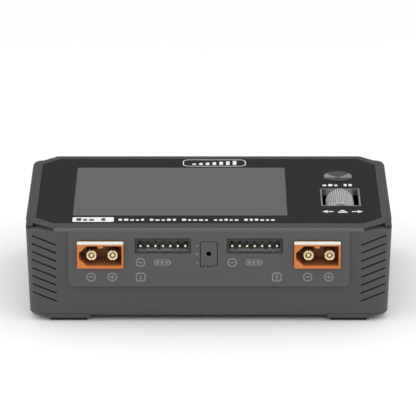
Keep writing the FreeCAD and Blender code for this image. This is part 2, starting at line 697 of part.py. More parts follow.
def back_panel():
    outer = back_panel_points(0)
    x0, x1, z0, z1 = outer[0][0], outer[1][0], outer[0][1], outer[2][1]
    depth = REAR_SIDE_DEPTH + FLANGE_THICK
    panel = panel_plate(outer, PANEL_ROUND, Y_BACK - depth, Y_BACK, z1)
    flange = block(x0 - PANEL_FLANGE, x1 + PANEL_FLANGE, Y_BACK - depth, Y_BACK - REAR_SIDE_DEPTH, z0, z1)
    panel = panel.fuse(flange)
    rim = PANEL_RIM / 2
    panel = panel.cut(
        block(x0 + rim, x1 - rim, Y_BACK - depth - 1, Y_BACK - PANEL_FACE, z0 + rim, z1 - rim)
    )
    for x in FAN_X:
        for x_screw, z_screw in fan_screw_places(x):
            panel = panel.cut(rod(FAN_SCREW_R + FIT, x_screw, Y_BACK - 5, z_screw, 10, (0, 1, 0)))
        panel = panel.cut(fan_grille(x))
    panel = panel.cut(socket_body(DC_X, Z_FAN, CONNECTOR_GAP, Y_BACK, -1))
    return panel.cut(inlet_body(FIT))


def fan_grille(x):
    """Level slots inside the fan's circle, split by an upright bar."""
    circle = rod(FAN_TIP_R, x, Y_BACK - 5, Z_FAN, 10, (0, 1, 0))
    rows = int(FAN_TIP_R / GRILLE_PITCH)
    slots = [
        block(x + a, x + b, Y_BACK - 5, Y_BACK + 5, z - GRILLE_SLOT / 2, z + GRILLE_SLOT / 2)
        for z in [Z_FAN + k * GRILLE_PITCH for k in range(-rows, rows + 1)]
        for a, b in ((-FAN_TIP_R, -0.8), (0.8, FAN_TIP_R))
    ]
    return group([slot.common(circle) for slot in slots])


# ---- connectors ---------------------------------------------------------------------------------
def socket_body(x, z, grow, y_face, inward):
    """Outside of a two-pole power socket; it runs inwards from y_face + its proud length."""
    w, h = SOCKET_WIDTH + 2 * grow, SOCKET_HEIGHT + 2 * grow
    y_out = y_face - inward * SOCKET_PROUD
    y_in = y_face + inward * CONNECTOR_DEPTH
    return face_plate(rectangle(x - w / 2, x + w / 2, z - h / 2, z + h / 2), SOCKET_ROUND + grow, y_out, y_in)


def cavity_points(x, z, w, h):
    """Socket hollow with its pointed end on the left."""
    flat = CAVITY_FLAT / 2
    return [
        (x - w / 2, z - flat), (x - w / 2 + CAVITY_POINT, z - h / 2), (x + w / 2, z - h / 2),
        (x + w / 2, z + h / 2), (x - w / 2 + CAVITY_POINT, z + h / 2), (x - w / 2, z + flat),
    ]


def socket_housing(x, z, y_face, inward):
    body = socket_body(x, z, 0, y_face, inward)
    y_out = y_face - inward * SOCKET_PROUD
    rim = [e for e in body.Edges if max(abs(e.BoundBox.YMin - y_out), abs(e.BoundBox.YMax - y_out)) < 0.01]
    body = body.makeChamfer(SOCKET_BEVEL, rim)
    y_floor = y_out + inward * CAVITY_DEPTH
    z_hollow = z - CAVITY_DROP
    top = z_hollow + CAVITY_HEIGHT / 2
    outline = cavity_points(x, z_hollow, CAVITY_WIDTH, CAVITY_HEIGHT)
    hollow = face_plate(outline, 0.25, y_out - inward * 0.1, y_floor)
    key = block(x - KEY_WIDTH / 2, x + KEY_WIDTH / 2, y_out, y_floor, top - KEY_HEIGHT, top)
    body = body.cut(hollow).fuse(key) if inward > 0 else body.cut(hollow)
    for x_pin in bullet_places(x):
        hole_r = BULLET_BODY_R + BULLET_HOLD
        body = body.cut(rod(hole_r, x_pin, y_floor - inward, z_hollow, CONNECTOR_DEPTH, (0, inward, 0)))
    return body


def bullet_places(x):
    return [x + BULLET_SHIFT + side * BULLET_PITCH / 2 for side in (-1, 1)]


def bullet_contacts(x, z, y_face, inward):
    """Two sprung round contacts, each split crosswise at its nose, with a tail through the board."""
    z = z - CAVITY_DROP
    y_floor = y_face + inward * (CAVITY_DEPTH - SOCKET_PROUD)
    y_nose = y_floor - inward * BULLET_REACH
    y_end = y_face + inward * (CONNECTOR_DEPTH + BOARD + PIN_TAIL)
    contacts = []
    for x_pin in bullet_places(x):
        y_tail = y_face + inward * CONNECTOR_DEPTH
        pin = rod(BULLET_R, x_pin, y_nose, z, BULLET_REACH + 0.5, (0, inward, 0))
        tip = [e for e in pin.Edges if abs(e.BoundBox.YMin - y_nose) < 0.01 and e.BoundBox.YLength < 0.01]
        pin = pin.makeChamfer(BULLET_NOSE, tip)
        pin = pin.fuse(rod(BULLET_BODY_R, x_pin, y_floor, z, abs(y_tail - y_floor), (0, inward, 0)))
        tail = rod(BULLET_TAIL_R, x_pin, y_tail - inward * 0.5, z, abs(y_end - y_tail) + 0.5, (0, inward, 0))
        pin = pin.fuse(tail)
        slot_end = y_nose + inward * BULLET_SLOT_LENGTH
        low, high = sorted((y_nose - inward, slot_end))
        s = BULLET_SLOT / 2
        pin = pin.cut(block(x_pin - BULLET_R - 1, x_pin + BULLET_R + 1, low, high, z - s, z + s))
        pin = pin.cut(block(x_pin - s, x_pin + s, low, high, z - BULLET_R - 1, z + BULLET_R + 1))
        contacts.append(pin)
    return group(contacts)


def header_body(x, grow):
    """Outside of a balance header with its two lower corners cut."""
    w, h = HEADER_WIDTH / 2 + grow, HEADER_HEIGHT / 2 + grow
    loop = rectangle(x - w, x + w, Z_HEADER - h, Z_HEADER + h)
    return face_plate(loop, 0.45, Y_FRONT - 0.1 * (grow > 0), Y_CONNECTOR)


def header_pin_places(x):
    return [x + (i - (HEADER_PINS - 1) / 2) * HEADER_PITCH for i in range(HEADER_PINS)]


def header_housing(x):
    body = header_body(x, 0)
    w, h = HEADER_WIDTH / 2 - HEADER_WALL, HEADER_HEIGHT / 2 - HEADER_WALL
    y_end = Y_FRONT + HEADER_CAVITY
    body = body.cut(block(x - w, x + w, Y_FRONT - 1, y_end, Z_HEADER - h, Z_HEADER + h))
    low = Z_HEADER - HEADER_HEIGHT / 2
    pins = header_pin_places(x)
    for i in (0, HEADER_PINS // 2 - 1, HEADER_PINS // 2 + 1, HEADER_PINS - 2):
        x_gap = pins[i] + HEADER_PITCH / 2
        n = HEADER_NOTCH / 2
        body = body.cut(block(x_gap - n, x_gap + n, Y_FRONT - 1, y_end, low + 0.25, Z_HEADER))
    for x_pin in pins:
        hole = brick_along_y(x_pin, Z_HEADER - HEADER_PIN_DROP, HEADER_PIN, y_end - 1, Y_CONNECTOR + 1)
        body = body.cut(hole)
    return body


def brick_along_y(x, z, side, y0, y1):
    return block(x - side / 2, x + side / 2, y0, y1, z - side / 2, z + side / 2)


def header_pins(x):
    y_tip, y_end = Y_FRONT + HEADER_PIN_BACK, Y_CONNECTOR + BOARD + PIN_TAIL
    z = Z_HEADER - HEADER_PIN_DROP
    return group([brick_along_y(x_pin, z, HEADER_PIN, y_tip, y_end) for x_pin in header_pin_places(x)])


def port_body(grow, y0, y1):
    """Outside of the signal port with its two keying ribs below."""
    w, h = PORT_WIDTH / 2 + grow, PORT_HEIGHT / 2 + grow
    body = face_plate(rectangle(-w, w, Z_PORT - h, Z_PORT + h), 0.3, y0, y1)
    low = Z_PORT - h
    for x0, x1 in PORT_RIBS:
        body = body.fuse(block(x0 - grow, x1 + grow, y0, y1, low - PORT_RIB_HEIGHT, low + 1.0))
    return body


def port_pin_heights():
    return [Z_PORT + k * PORT_PITCH for k in (-1, 0, 1)]


def signal_port():
    y_mouth = Y_FRONT + PLUG_FACE + GLUE
    body = port_body(0, y_mouth, Y_CONNECTOR)
    w, h = PORT_WIDTH / 2 - PORT_WALL, PORT_HEIGHT / 2 - PORT_WALL
    body = body.cut(block(-w, w, Y_FRONT - 1, y_mouth + PORT_CAVITY, Z_PORT - h, Z_PORT + h))
    for z in port_pin_heights():
        body = body.cut(brick_along_y(0, z, HEADER_PIN, Y_FRONT, Y_CONNECTOR + 1))
    return body


def signal_pins():
    y_tip, y_end = Y_FRONT + PLUG_LENGTH + 0.5, Y_CONNECTOR + BOARD + PIN_TAIL
    return group([brick_along_y(0, z, HEADER_PIN, y_tip, y_end) for z in port_pin_heights()])


def port_plug():
    """Blanking plug: a flange flush with the panel, a part that enters the port, a pull hole."""
    w = PORT_WIDTH / 2 - PORT_WALL - PLUG_SIDE_GAP
    h = PORT_HEIGHT / 2 - PORT_WALL - PLUG_SIDE_GAP
    plug = port_body(0, Y_FRONT, Y_FRONT + PLUG_FACE)
    plug = plug.fuse(block(-w, w, Y_FRONT + PLUG_FACE / 2, Y_FRONT + PLUG_LENGTH, Z_PORT - h, Z_PORT + h))
    return plug.cut(rod(PLUG_EYE, 0, Y_FRONT - 1, Z_PORT, 1 + PLUG_EYE_DEPTH, (0, 1, 0)))


def inlet_points(width, height):
    """Stadium outline of the mains inlet, in x and z."""
    return rectangle(AC_X - width / 2, AC_X + width / 2, Z_FAN - height / 2, Z_FAN + height / 2)


def inlet_body(grow):
    y_in = Y_BACK - AC_DEPTH
    return face_plate(inlet_points(AC_WIDTH + 2 * grow, AC_HEIGHT + 2 * grow), 1.5, y_in, Y_BACK + 0.5)


def mains_inlet():
    body = inlet_body(0)
    y_floor = Y_BACK + 0.5 - AC_CAVITY_DEPTH
    outline = inlet_points(AC_CAVITY_WIDTH, AC_CAVITY_HEIGHT)
    body = body.cut(face_plate(outline, 0.44 * AC_CAVITY_HEIGHT, y_floor, Y_BACK + 1))
    for side in (-1, 1):
        x = AC_X + side * AC_PIN_PITCH / 2
        y_low = Y_BACK - 2 * AC_DEPTH
        body = body.cut(rod(AC_PIN_ROOT_R, x, y_low, Z_FAN, y_floor - y_low, (0, 1, 0)))
    return body


def mains_pins():
    """Round pins with a thicker root behind the inlet's floor, which a cable socket stops at."""
    y_floor = Y_BACK + 0.5 - AC_CAVITY_DEPTH
    y_tip = y_floor + AC_PIN_REACH
    y_end = Y_BACK - AC_DEPTH - 2.0
    places = [AC_X + side * AC_PIN_PITCH / 2 for side in (-1, 1)]
    pins = []
    for x in places:
        pin = rod(AC_PIN_R, x, y_end, Z_FAN, y_tip - y_end, (0, 1, 0))
        tip = [e for e in pin.Edges if e.BoundBox.YMin > y_tip - 0.01]
        root = rod(AC_PIN_ROOT_R, x, y_end, Z_FAN, y_floor - y_end, (0, 1, 0))
        pins.append(pin.makeChamfer(0.5, tip).fuse(root))
    return group(pins)


# ---- button and wheel ---------------------------------------------------------------------------
def exit_button():
    """Turned metal cap with a dished face, a flange below the cover and a stem."""
    top = CASE_HEIGHT + BUTTON_PROUD
    under = Z_DECK_LOW - PRESS_CLEAR
    cap = rod(BUTTON_R, BUTTON_X, BUTTON_Y, under - 0.5, top - under + 0.5)
    rim = [e for e in cap.Edges if e.BoundBox.ZMin > top - 0.01]
    cap = cap.makeChamfer(0.25, rim)
    dish_r = BUTTON_R - 0.7
    ball_r = (dish_r ** 2 + BUTTON_DISH ** 2) / (2 * BUTTON_DISH)
    cap = cap.cut(Part.makeSphere(ball_r, vec(BUTTON_X, BUTTON_Y, top - BUTTON_DISH + ball_r)))
    cap = cap.fuse(rod(BUTTON_R + 0.9, BUTTON_X, BUTTON_Y, under - 0.8, 0.8))
    stem_low = Z_PLUNGER
    return cap.fuse(rod(STEM_R, BUTTON_X, BUTTON_Y, stem_low, under - stem_low))


def switch_body(x, y):
    """Square push switch with a round well for its plunger."""
    body = brick(x, y, Z_CONTROL, SWITCH_SIDE, SWITCH_SIDE, SWITCH_HEIGHT)
    return body.cut(rod(PLUNGER_R + PLUNGER_GUIDE, x, y, Z_CONTROL + 0.6, SWITCH_HEIGHT))


def switch_plunger(x, y):
    low = Z_CONTROL + 0.6 + PRESS + PRESS_CLEAR
    return rod(PLUNGER_R, x, y, low, Z_PLUNGER - low)


def cradle_half():
    """Half the length of the wheel's cradle, outside its ears."""
    return WINDOW_LENGTH / 2 + PRESS_CLEAR + CRADLE_WALL


def wheel_cradle():
    """Folded cradle: a base plate with an ear at each end that carries the shaft."""
    half = cradle_half()
    base_top = Z_WHEEL - WHEEL_R - PRESS_CLEAR
    cradle = block(
        WHEEL_X - CRADLE_WIDTH / 2, WHEEL_X + CRADLE_WIDTH / 2, WHEEL_Y - half, WHEEL_Y + half,
        Z_PLUNGER, base_top,
    )
    ear_top = Z_GLASS - PRESS_CLEAR
    for side in (-1, 1):
        y0, y1 = sorted((side * (half - CRADLE_WALL), side * half))
        ear = block(WHEEL_X - 3.2, WHEEL_X + 3.2, WHEEL_Y + y0, WHEEL_Y + y1, Z_PLUNGER, ear_top)
        cradle = cradle.fuse(ear)
    cradle = cradle.cut(
        rod(SHAFT_R + SHAFT_GUIDE, WHEEL_X, WHEEL_Y - half - 1, Z_WHEEL, 2 * half + 2, (0, 1, 0))
    )
    for side in (-1, 1):
        y = WHEEL_Y + side * (half - GUIDE_PIN_INSET)
        low = Z_CONTROL - BOARD - 0.6
        cradle = cradle.fuse(rod(GUIDE_PIN_R, WHEEL_X, y, low, Z_PLUNGER + 0.4 - low))
    return cradle


def jog_wheel():
    """Metal roller with square ridges along its length."""
    y0 = WHEEL_Y - WHEEL_LENGTH / 2
    wheel = rod(WHEEL_R, WHEEL_X, y0, Z_WHEEL, WHEEL_LENGTH, (0, 1, 0))
    wheel = wheel.makeChamfer(0.3, [e for e in wheel.Edges if e.BoundBox.YLength < 0.01])
    wheel = wheel.cut(rod(SHAFT_R, WHEEL_X, y0 - 1, Z_WHEEL, WHEEL_LENGTH + 2, (0, 1, 0)))
    width = math.pi * WHEEL_R / WHEEL_RIDGES
    grooves = []
    for i in range(WHEEL_RIDGES):
        groove = block(
            WHEEL_X - width / 2, WHEEL_X + width / 2, y0 - 1, y0 + WHEEL_LENGTH + 1,
            Z_WHEEL + WHEEL_R - WHEEL_RIDGE_DEPTH, Z_WHEEL + WHEEL_R + 1,
        )
        groove.rotate(vec(WHEEL_X, 0, Z_WHEEL), vec(0, 1, 0), 360.0 * i / WHEEL_RIDGES)
        grooves.append(groove)
    return wheel.cut(group(grooves))


def wheel_shaft():
    half = cradle_half()
    return rod(SHAFT_R, WHEEL_X, WHEEL_Y - half - 0.5, Z_WHEEL, 2 * half + 3.5, (0, 1, 0))


def wheel_encoder():
    """Rotary encoder clipped to the back ear; it turns the shaft's motion into pulses."""
    y0 = WHEEL_Y + cradle_half() + GLUE
    body = block(WHEEL_X - 3.0, WHEEL_X + 3.0, y0, y0 + ENCODER_THICK, Z_PLUNGER, Z_WHEEL + 2.4)
    return body.cut(rod(SHAFT_R + SHAFT_GUIDE, WHEEL_X, y0 - 1, Z_WHEEL, 5, (0, 1, 0)))


def wheel_bezel():
    """Rectangular metal frame around the wheel's window."""
    low, high = Z_DECK - BEZEL_DEPTH + DECK_THICK / 2, CASE_HEIGHT - GLUE + BEZEL_PROUD
    ring = brick(WHEEL_X, WHEEL_Y, low, WINDOW_WIDTH, WINDOW_LENGTH, high - low)
    inner_w, inner_l = WINDOW_WIDTH - 2 * BEZEL_WALL, WINDOW_LENGTH - 2 * BEZEL_WALL
    return ring.cut(brick(WHEEL_X, WHEEL_Y, low - 1, inner_w, inner_l, high - low + 2))


# ---- boards and what they carry -----------------------------------------------------------------
def control_board():
    y0, y1 = Y_CONNECTOR + BOARD + 2.5, Y_FAN_BACK - FAN_THICK - 2.0
    board = block(-BOARD_HALF, BOARD_HALF, y0, y1, Z_CONTROL - BOARD, Z_CONTROL)
    for side in (-1, 1):
        y = WHEEL_Y + side * (cradle_half() - GUIDE_PIN_INSET)
        board = board.cut(rod(GUIDE_PIN_R + GUIDE_PIN_GAP, WHEEL_X, y, 0, CASE_HEIGHT))
    x0, x1 = DC_X - SOCKET_WIDTH / 2 - 1.0, AC_X + AC_WIDTH / 2 + 1.0
    return board.cut(block(x0, x1, Y_BACK - AC_DEPTH - 3.0, Y_BACK, 0, CASE_HEIGHT))


def main_board():
    y0, y1 = Y_FRONT + PANEL_SIDE_DEPTH + FLANGE_THICK + 1.0, Y_FAN_BACK - FAN_THICK - 1.0
    board = block(-BOARD_HALF, BOARD_HALF, y0, y1, Z_MAIN, Z_MAIN + BOARD)
    for x, y in board_places():
        board = board.cut(rod(SCREW_R + FIT, x, y, 0, CASE_HEIGHT))
    return board


def board_screws():
    screws = []
    top = Z_MAIN + BOARD
    for x, y in board_places():
        shank = rod(SCREW_R, x, y, Z_BODY + 1.2, top - Z_BODY - 1.2)
        screws.append(shank.fuse(rod(SCREW_HEAD_R, x, y, top, SCREW_HEAD)))
    return group(screws)


def connector_board():
    """Upright board behind the front panel, carrying every front connector."""
    low, high = Z_MAIN + BOARD, Z_HEADER + HEADER_HEIGHT / 2 - 1.0
    board = block(-BOARD_HALF + 4, BOARD_HALF - 4, Y_CONNECTOR, Y_CONNECTOR + BOARD, low, high)
    z_contact = Z_SOCKET - CAVITY_DROP
    for side in (-1, 1):
        for x in bullet_places(side * SOCKET_X):
            board = board.cut(rod(BULLET_TAIL_R, x, Y_CONNECTOR - 1, z_contact, BOARD + 2, (0, 1, 0)))
        for x in header_pin_places(side * HEADER_X):
            hole = brick_along_y(x, Z_HEADER - HEADER_PIN_DROP, HEADER_PIN, Y_CONNECTOR - 1, Y_CONNECTOR + 3)
            board = board.cut(hole)
    for z in port_pin_heights():
        board = board.cut(brick_along_y(0, z, HEADER_PIN, Y_CONNECTOR - 1, Y_CONNECTOR + 3))
    return board


def heat_sink(x):
    """Finned block beside each output channel."""
    z0 = Z_MAIN + BOARD
    z1 = Z_CONTROL - BOARD - 1.2
    sink = brick(x, SINK_Y, z0, SINK_WIDTH, SINK_DEPTH, z1 - z0)
    for i in range(SINK_GAPS):
        x_gap = x - SINK_WIDTH / 2 + (i + 1) * SINK_WIDTH / (SINK_GAPS + 1)
        sink = sink.cut(brick(x_gap, SINK_Y, z0 + SINK_BASE, SINK_GAP, SINK_DEPTH + 2, z1))
    return sink


def ring_coil(x, y):
    """Round choke standing flat on the board."""
    z0 = Z_MAIN + BOARD
    coil = rod(COIL_R, x, y, z0, COIL_HEIGHT).cut(rod(COIL_BORE_R, x, y, z0 - 1, COIL_HEIGHT + 2))
    return coil.makeFillet(1.0, [e for e in coil.Edges if e.Length > 30])


def capacitor(x, y, radius, length):
    """Electrolytic capacitor lying along X on the board."""
    z = Z_MAIN + BOARD + radius
    can = rod(radius, x - length / 2, y, z, length, (1, 0, 0))
    return can.makeFillet(0.5, [e for e in can.Edges if e.BoundBox.XLength < 0.01])


def supply_parts_y():
    return Y_FAN_BACK - FAN_THICK - SUPPLY_BACK


def transformer():
    """Ferrite block with its bobbin, between the two sides of the supply."""
    z0 = Z_MAIN + BOARD
    y = supply_parts_y()
    core = brick(CORE_X, y, z0, CORE_WIDTH, CORE_DEPTH, CORE_HEIGHT)
    return core.fuse(brick(CORE_X, y, z0, BOBBIN_WIDTH, BOBBIN_DEPTH, BOBBIN_HEIGHT))


def buzzer():
    z0 = Z_MAIN + BOARD
    disc = rod(BUZZER_R, 0, BUZZER_Y, z0, BUZZER_HEIGHT)
    return disc.cut(rod(BUZZER_HOLE_R, 0, BUZZER_Y, z0 + BUZZER_HEIGHT - 1.0, 2.0))


def fuse_link():
    z0 = Z_MAIN + BOARD
    return rod(FUSE_R, FUSE_X, supply_parts_y() + FUSE_BACK, z0 + FUSE_R + GLUE, FUSE_LENGTH, (1, 0, 0))


# ---- fans ---------------------------------------------------------------------------------------
def fan_frame(x):
    """Square frame with a round bore, a motor seat on four arms and the fixed pin of the bearing."""
    y0, y1 = Y_FAN_BACK - FAN_THICK, Y_FAN_BACK
    half = FAN_SIZE / 2
    points = rectangle(x - half, x + half, Z_FAN - half, Z_FAN + half)
    frame = face_plate(points, 1.5, y0, y1)
    frame = frame.cut(rod(FAN_BORE_R, x, y0 - 1, Z_FAN, FAN_THICK + 2, (0, 1, 0)))
    reach, arm, seat = FAN_BORE_R + 0.3, FAN_ARM / 2, y0 + FAN_SEAT
    arms = block(x - reach, x + reach, y0, seat, Z_FAN - arm, Z_FAN + arm)
    arms = arms.fuse(block(x - arm, x + arm, y0, seat, Z_FAN - reach, Z_FAN + reach))
    frame = frame.fuse(arms).fuse(rod(FAN_HUB_R, x, y0, Z_FAN, FAN_SEAT, (0, 1, 0)))
    frame = frame.fuse(rod(FAN_SHAFT_R, x, y0 + FAN_SEAT / 2, Z_FAN, FAN_THICK - 3.0, (0, 1, 0)))
    for x_screw, z_screw in fan_screw_places(x):
        frame = frame.cut(rod(FAN_SCREW_R, x_screw, y1 - 6.0, z_screw, 7.0, (0, 1, 0)))
    return frame


def fan_rotor(x):
    """Hub that runs on the frame's pin, with blades set at a pitch."""
    y0, y1 = Y_FAN_BACK - FAN_THICK + FAN_SEAT + FAN_END_GAP, Y_FAN_BACK - FAN_FACE_GAP
    hub = rod(FAN_HUB_R, x, y0, Z_FAN, y1 - y0, (0, 1, 0))
    depth = (y1 - y0) * 0.92
    middle = (y0 + y1) / 2
    tip_ring = rod(FAN_TIP_R, x, y0, Z_FAN, y1 - y0, (0, 1, 0))
    for i in range(FAN_BLADES):
        blade = block(
            -FAN_BLADE_THICK / 2, FAN_BLADE_THICK / 2, -depth / 2 * 1.3, depth / 2 * 1.3,
            FAN_HUB_R - 1.0, FAN_TIP_R + 1,
        )
        blade.rotate(vec(0, 0, 0), vec(0, 0, 1), FAN_BLADE_PITCH)
        blade.rotate(vec(0, 0, 0), vec(0, 1, 0), 360.0 * i / FAN_BLADES)
        blade.translate(vec(x, middle, Z_FAN))
        hub = hub.fuse(blade.common(tip_ring))
    return hub.cut(rod(FAN_SHAFT_R + FAN_SHAFT_GAP, x, y0 - 1, Z_FAN, FAN_THICK - 2.4, (0, 1, 0)))


def fan_screws():
    screws = []
    for x in FAN_X:
        for x_screw, z_screw in fan_screw_places(x):
            shank = rod(FAN_SCREW_R, x_screw, Y_BACK - 6.0, z_screw, 6.0, (0, 1, 0))
            head = rod(2.1, x_screw, Y_BACK, z_screw, 0.8, (0, 1, 0))
            screws.append(shank.fuse(head))
    return group(screws)


# ---- fasteners and feet -------------------------------------------------------------------------
def case_screws():
    """Screws from below, through the floor's posts into the cover's posts."""
    screws = []
    seat = Z_BODY + SCREW_HEAD + 0.4
    for x, y in post_places():
        shank = rod(SCREW_R, x, y, seat, Z_FLOOR + POST_LOW + 5.0 - seat)
        screws.append(shank.fuse(rod(SCREW_HEAD_R, x, y, seat - SCREW_HEAD, SCREW_HEAD)))
    return group(screws)


def rubber_foot(x, y):
    pad = brick(x, y, 0, FOOT_WIDTH - 2 * PAD_MARGIN, FOOT_LENGTH - 2 * PAD_MARGIN, PAD_PROUD + PAD_SUNK)
    low = [e for e in pad.Edges if e.BoundBox.ZMax < 0.01]
    return pad.makeChamfer(0.2, low)


def build():
    save("bottom_case", bottom_case())
    save("top_cover", top_cover())
    save("front_panel", front_panel())
    save("back_panel", back_panel())
    save("display_glass", display_glass())
    save("lcd_module", lcd_module())
    save("lcd_tray", lcd_tray())
    save("tray_screws", tray_screws())
    save("display_ribbon", display_ribbon())
    for name, side in (("left", -1), ("right", 1)):
        save("output_socket_" + name, socket_housing(side * SOCKET_X, Z_SOCKET, Y_FRONT, 1))
        save("output_contacts_" + name, bullet_contacts(side * SOCKET_X, Z_SOCKET, Y_FRONT, 1))
        save("balance_header_" + name, header_housing(side * HEADER_X))
        save("balance_pins_" + name, header_pins(side * HEADER_X))
        save("heat_sink_" + name, heat_sink(side * SINK_X))
        save("choke_" + name, ring_coil(side * COIL_X, COIL_Y))
    save("signal_port", signal_port())
    save("signal_pins", signal_pins())
    save("port_plug", port_plug())
    save("dc_input_socket", socket_housing(DC_X, Z_FAN, Y_BACK, -1))
    save("dc_input_contacts", bullet_contacts(DC_X, Z_FAN, Y_BACK, -1))
    save("mains_inlet", mains_inlet())
    save("mains_pins", mains_pins())
    save("exit_button", exit_button())
    save("exit_switch", switch_body(BUTTON_X, BUTTON_Y))
    save("exit_plunger", switch_plunger(BUTTON_X, BUTTON_Y))
    save("jog_wheel", jog_wheel())
    save("wheel_shaft", wheel_shaft())
    save("wheel_cradle", wheel_cradle())
    save("wheel_encoder", wheel_encoder())
    save("wheel_switch", switch_body(WHEEL_X, WHEEL_Y))
    save("wheel_plunger", switch_plunger(WHEEL_X, WHEEL_Y))
    save("wheel_bezel", wheel_bezel())
    save("control_board", control_board())
    save("main_board", main_board())
    save("connector_board", connector_board())
    save("board_screws", board_screws())
    save("transformer", transformer())
    save("bulk_capacitor", capacitor(CAN_X, supply_parts_y() - CAN_FORWARD, CAN_R, CAN_LENGTH))
    save("buzzer", buzzer())
    save("mains_fuse", fuse_link())
    for name, x in zip(FAN_NAMES, FAN_X):
        save("fan_frame_" + name, fan_frame(x))
        save("fan_rotor_" + name, fan_rotor(x))
    save("fan_screws", fan_screws())
    save("case_screws", case_screws())
    for name, (x, y) in foot_centres().items():
        save("foot_pad_" + name, rubber_foot(x, y))


os.makedirs("parts", exist_ok=True)
build()
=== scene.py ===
# %% [markdown]
# # A desk-top balance charger, finished around its working model
#
# The working model already holds every shell, board, socket, wheel and fan at its real size.
# This lesson loads it, then adds what a working model doesn't carry: the printed marks, the
# display's lit area, the turned contacts, the ridged roller, and a finish for every surface.
# Everything is in metres, in the model's own frame: +X right, +Y back, +Z up.

# %% Load the working model
import math

import bmesh
import bpy
import numpy as np
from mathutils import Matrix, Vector


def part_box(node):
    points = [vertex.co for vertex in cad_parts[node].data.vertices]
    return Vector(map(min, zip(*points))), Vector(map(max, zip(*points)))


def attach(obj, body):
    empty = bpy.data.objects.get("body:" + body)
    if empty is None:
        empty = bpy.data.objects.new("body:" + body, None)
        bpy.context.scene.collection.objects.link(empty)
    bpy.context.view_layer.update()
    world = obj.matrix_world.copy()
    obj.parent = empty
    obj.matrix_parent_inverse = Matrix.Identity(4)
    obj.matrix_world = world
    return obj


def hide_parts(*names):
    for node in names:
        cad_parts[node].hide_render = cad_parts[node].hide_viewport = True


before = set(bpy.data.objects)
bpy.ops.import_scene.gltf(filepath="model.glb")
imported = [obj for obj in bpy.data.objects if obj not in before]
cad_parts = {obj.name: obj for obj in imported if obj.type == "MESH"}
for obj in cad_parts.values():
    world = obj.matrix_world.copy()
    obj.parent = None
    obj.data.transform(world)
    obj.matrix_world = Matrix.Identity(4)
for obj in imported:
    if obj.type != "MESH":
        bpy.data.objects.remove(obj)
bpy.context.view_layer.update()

MM = 0.001

# %% [markdown]
# ## Where things are
#
# Every place comes from the working model's boxes, so nothing has to be fitted by eye. The
# front panel gives the front face, the glass gives the top, and each contact gives the place
# of the mark printed under it.

# %% Read the places
def spans(node):
    """Lowest and highest corner of a node as two numpy rows."""
    low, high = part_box(node)
    return np.array(low), np.array(high)


def centre(node):
    low, high = spans(node)
    return (low + high) / 2


FRONT = spans("front_panel")[0][1]
RIM = spans("top_cover")[1][2]
GLASS_TOP = spans("display_glass")[1][2]
GLASS_LOW, GLASS_HIGH = spans("display_glass")
print(f"front face y = {FRONT / MM:.2f} mm, rim z = {RIM / MM:.2f} mm, glass z = {GLASS_TOP / MM:.2f} mm")

# %% [markdown]
# ## From arrays to a mesh
#
# Two builders make all the new pieces. `closed_grid` takes a grid of points whose columns
# wrap round, and closes both ends with a pole. `ring_grid` takes a grid that wraps both ways,
# like a tyre. Both work on whole arrays, so there is no loop over points, and both give a
# mesh with no open edge.

# %% Mesh builders
def wrap_quads(rows, columns, first=0):
    """Quads of a grid whose columns wrap: cell (i, j) joins rows i and i+1, columns j and j+1."""
    i, j = np.meshgrid(np.arange(rows - 1), np.arange(columns), indexing="ij")
    a = first + i * columns + j
    b = first + i * columns + (j + 1) % columns
    return np.stack([a, b, b + columns, a + columns], axis=-1).reshape(-1, 4)


def closed_grid(grid):
    """Points and faces of a tube of rows, each end closed by a fan to the middle of its row."""
    rows, columns, _ = grid.shape
    points = np.concatenate([grid.reshape(-1, 3), grid[:1].mean(axis=1), grid[-1:].mean(axis=1)])
    j = np.arange(columns)
    after = (j + 1) % columns
    start = np.stack([np.full(columns, rows * columns), after, j], axis=1)
    last = (rows - 1) * columns
    end = np.stack([np.full(columns, rows * columns + 1), last + j, last + after], axis=1)
    return points, wrap_quads(rows, columns).tolist() + start.tolist() + end.tolist()


def ring_grid(grid):
    """Points and faces of a grid that wraps both ways."""
    rows, columns, _ = grid.shape
    i, j = np.meshgrid(np.arange(rows), np.arange(columns), indexing="ij")
    down, across = (i + 1) % rows, (j + 1) % columns
    quads = np.stack([i * columns + j, i * columns + across, down * columns + across, down * columns + j], -1)
    return grid.reshape(-1, 3), quads.reshape(-1, 4).tolist()


def joined(parts):
    """Several point and face sets as one."""
    points, faces, first = [], [], 0
    for p, f in parts:
        points.append(p)
        faces += [[first + k for k in face] for face in f]
        first += len(p)
    return np.concatenate(points), faces


def make_piece(name, parts, body, smooth_angle=40):
    """Mesh object at the origin with its place in its points, riding on a body."""
    points, faces = joined(parts)
    mesh = bpy.data.meshes.new(name)
    mesh.from_pydata(points.tolist(), [], faces)
    mesh.update()
    outward(mesh)
    piece = bpy.data.objects.new(name, mesh)
    bpy.context.scene.collection.objects.link(piece)
    mesh.polygons.foreach_set("use_smooth", np.ones(len(mesh.polygons), bool))
    mesh.set_sharp_from_angle(angle=math.radians(smooth_angle))
    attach(piece, body)
    print(f"{name}: {len(mesh.vertices)} points, {len(mesh.polygons)} faces, rides on {body}")
    return piece


def outward(mesh):
    """Turn every closed shell so that its faces look outwards."""
    work = bmesh.new()
    work.from_mesh(mesh)
    bmesh.ops.recalc_face_normals(work, faces=work.faces)
    work.to_mesh(mesh)
    work.free()


# %% [markdown]
# ## Noise, wear and dust as groups
#
# Moulded plastic is never one flat colour. It has a fine spark-eroded grain, a broad uneven
# tone, slightly rubbed edges and a little dust on what faces up. Each of these is a small
# group that puts out a mask or a value, so that each material can use it in its own strength.

# %% Node helpers
def srgb(*levels):
    """Linear colour from display levels 0 to 255; one level alone is a grey."""
    levels = levels * 3 if len(levels) == 1 else levels
    values = [v / 255 for v in levels]
    return tuple(v / 12.92 if v <= 0.04045 else ((v + 0.055) / 1.055) ** 2.4 for v in values) + (1.0,)


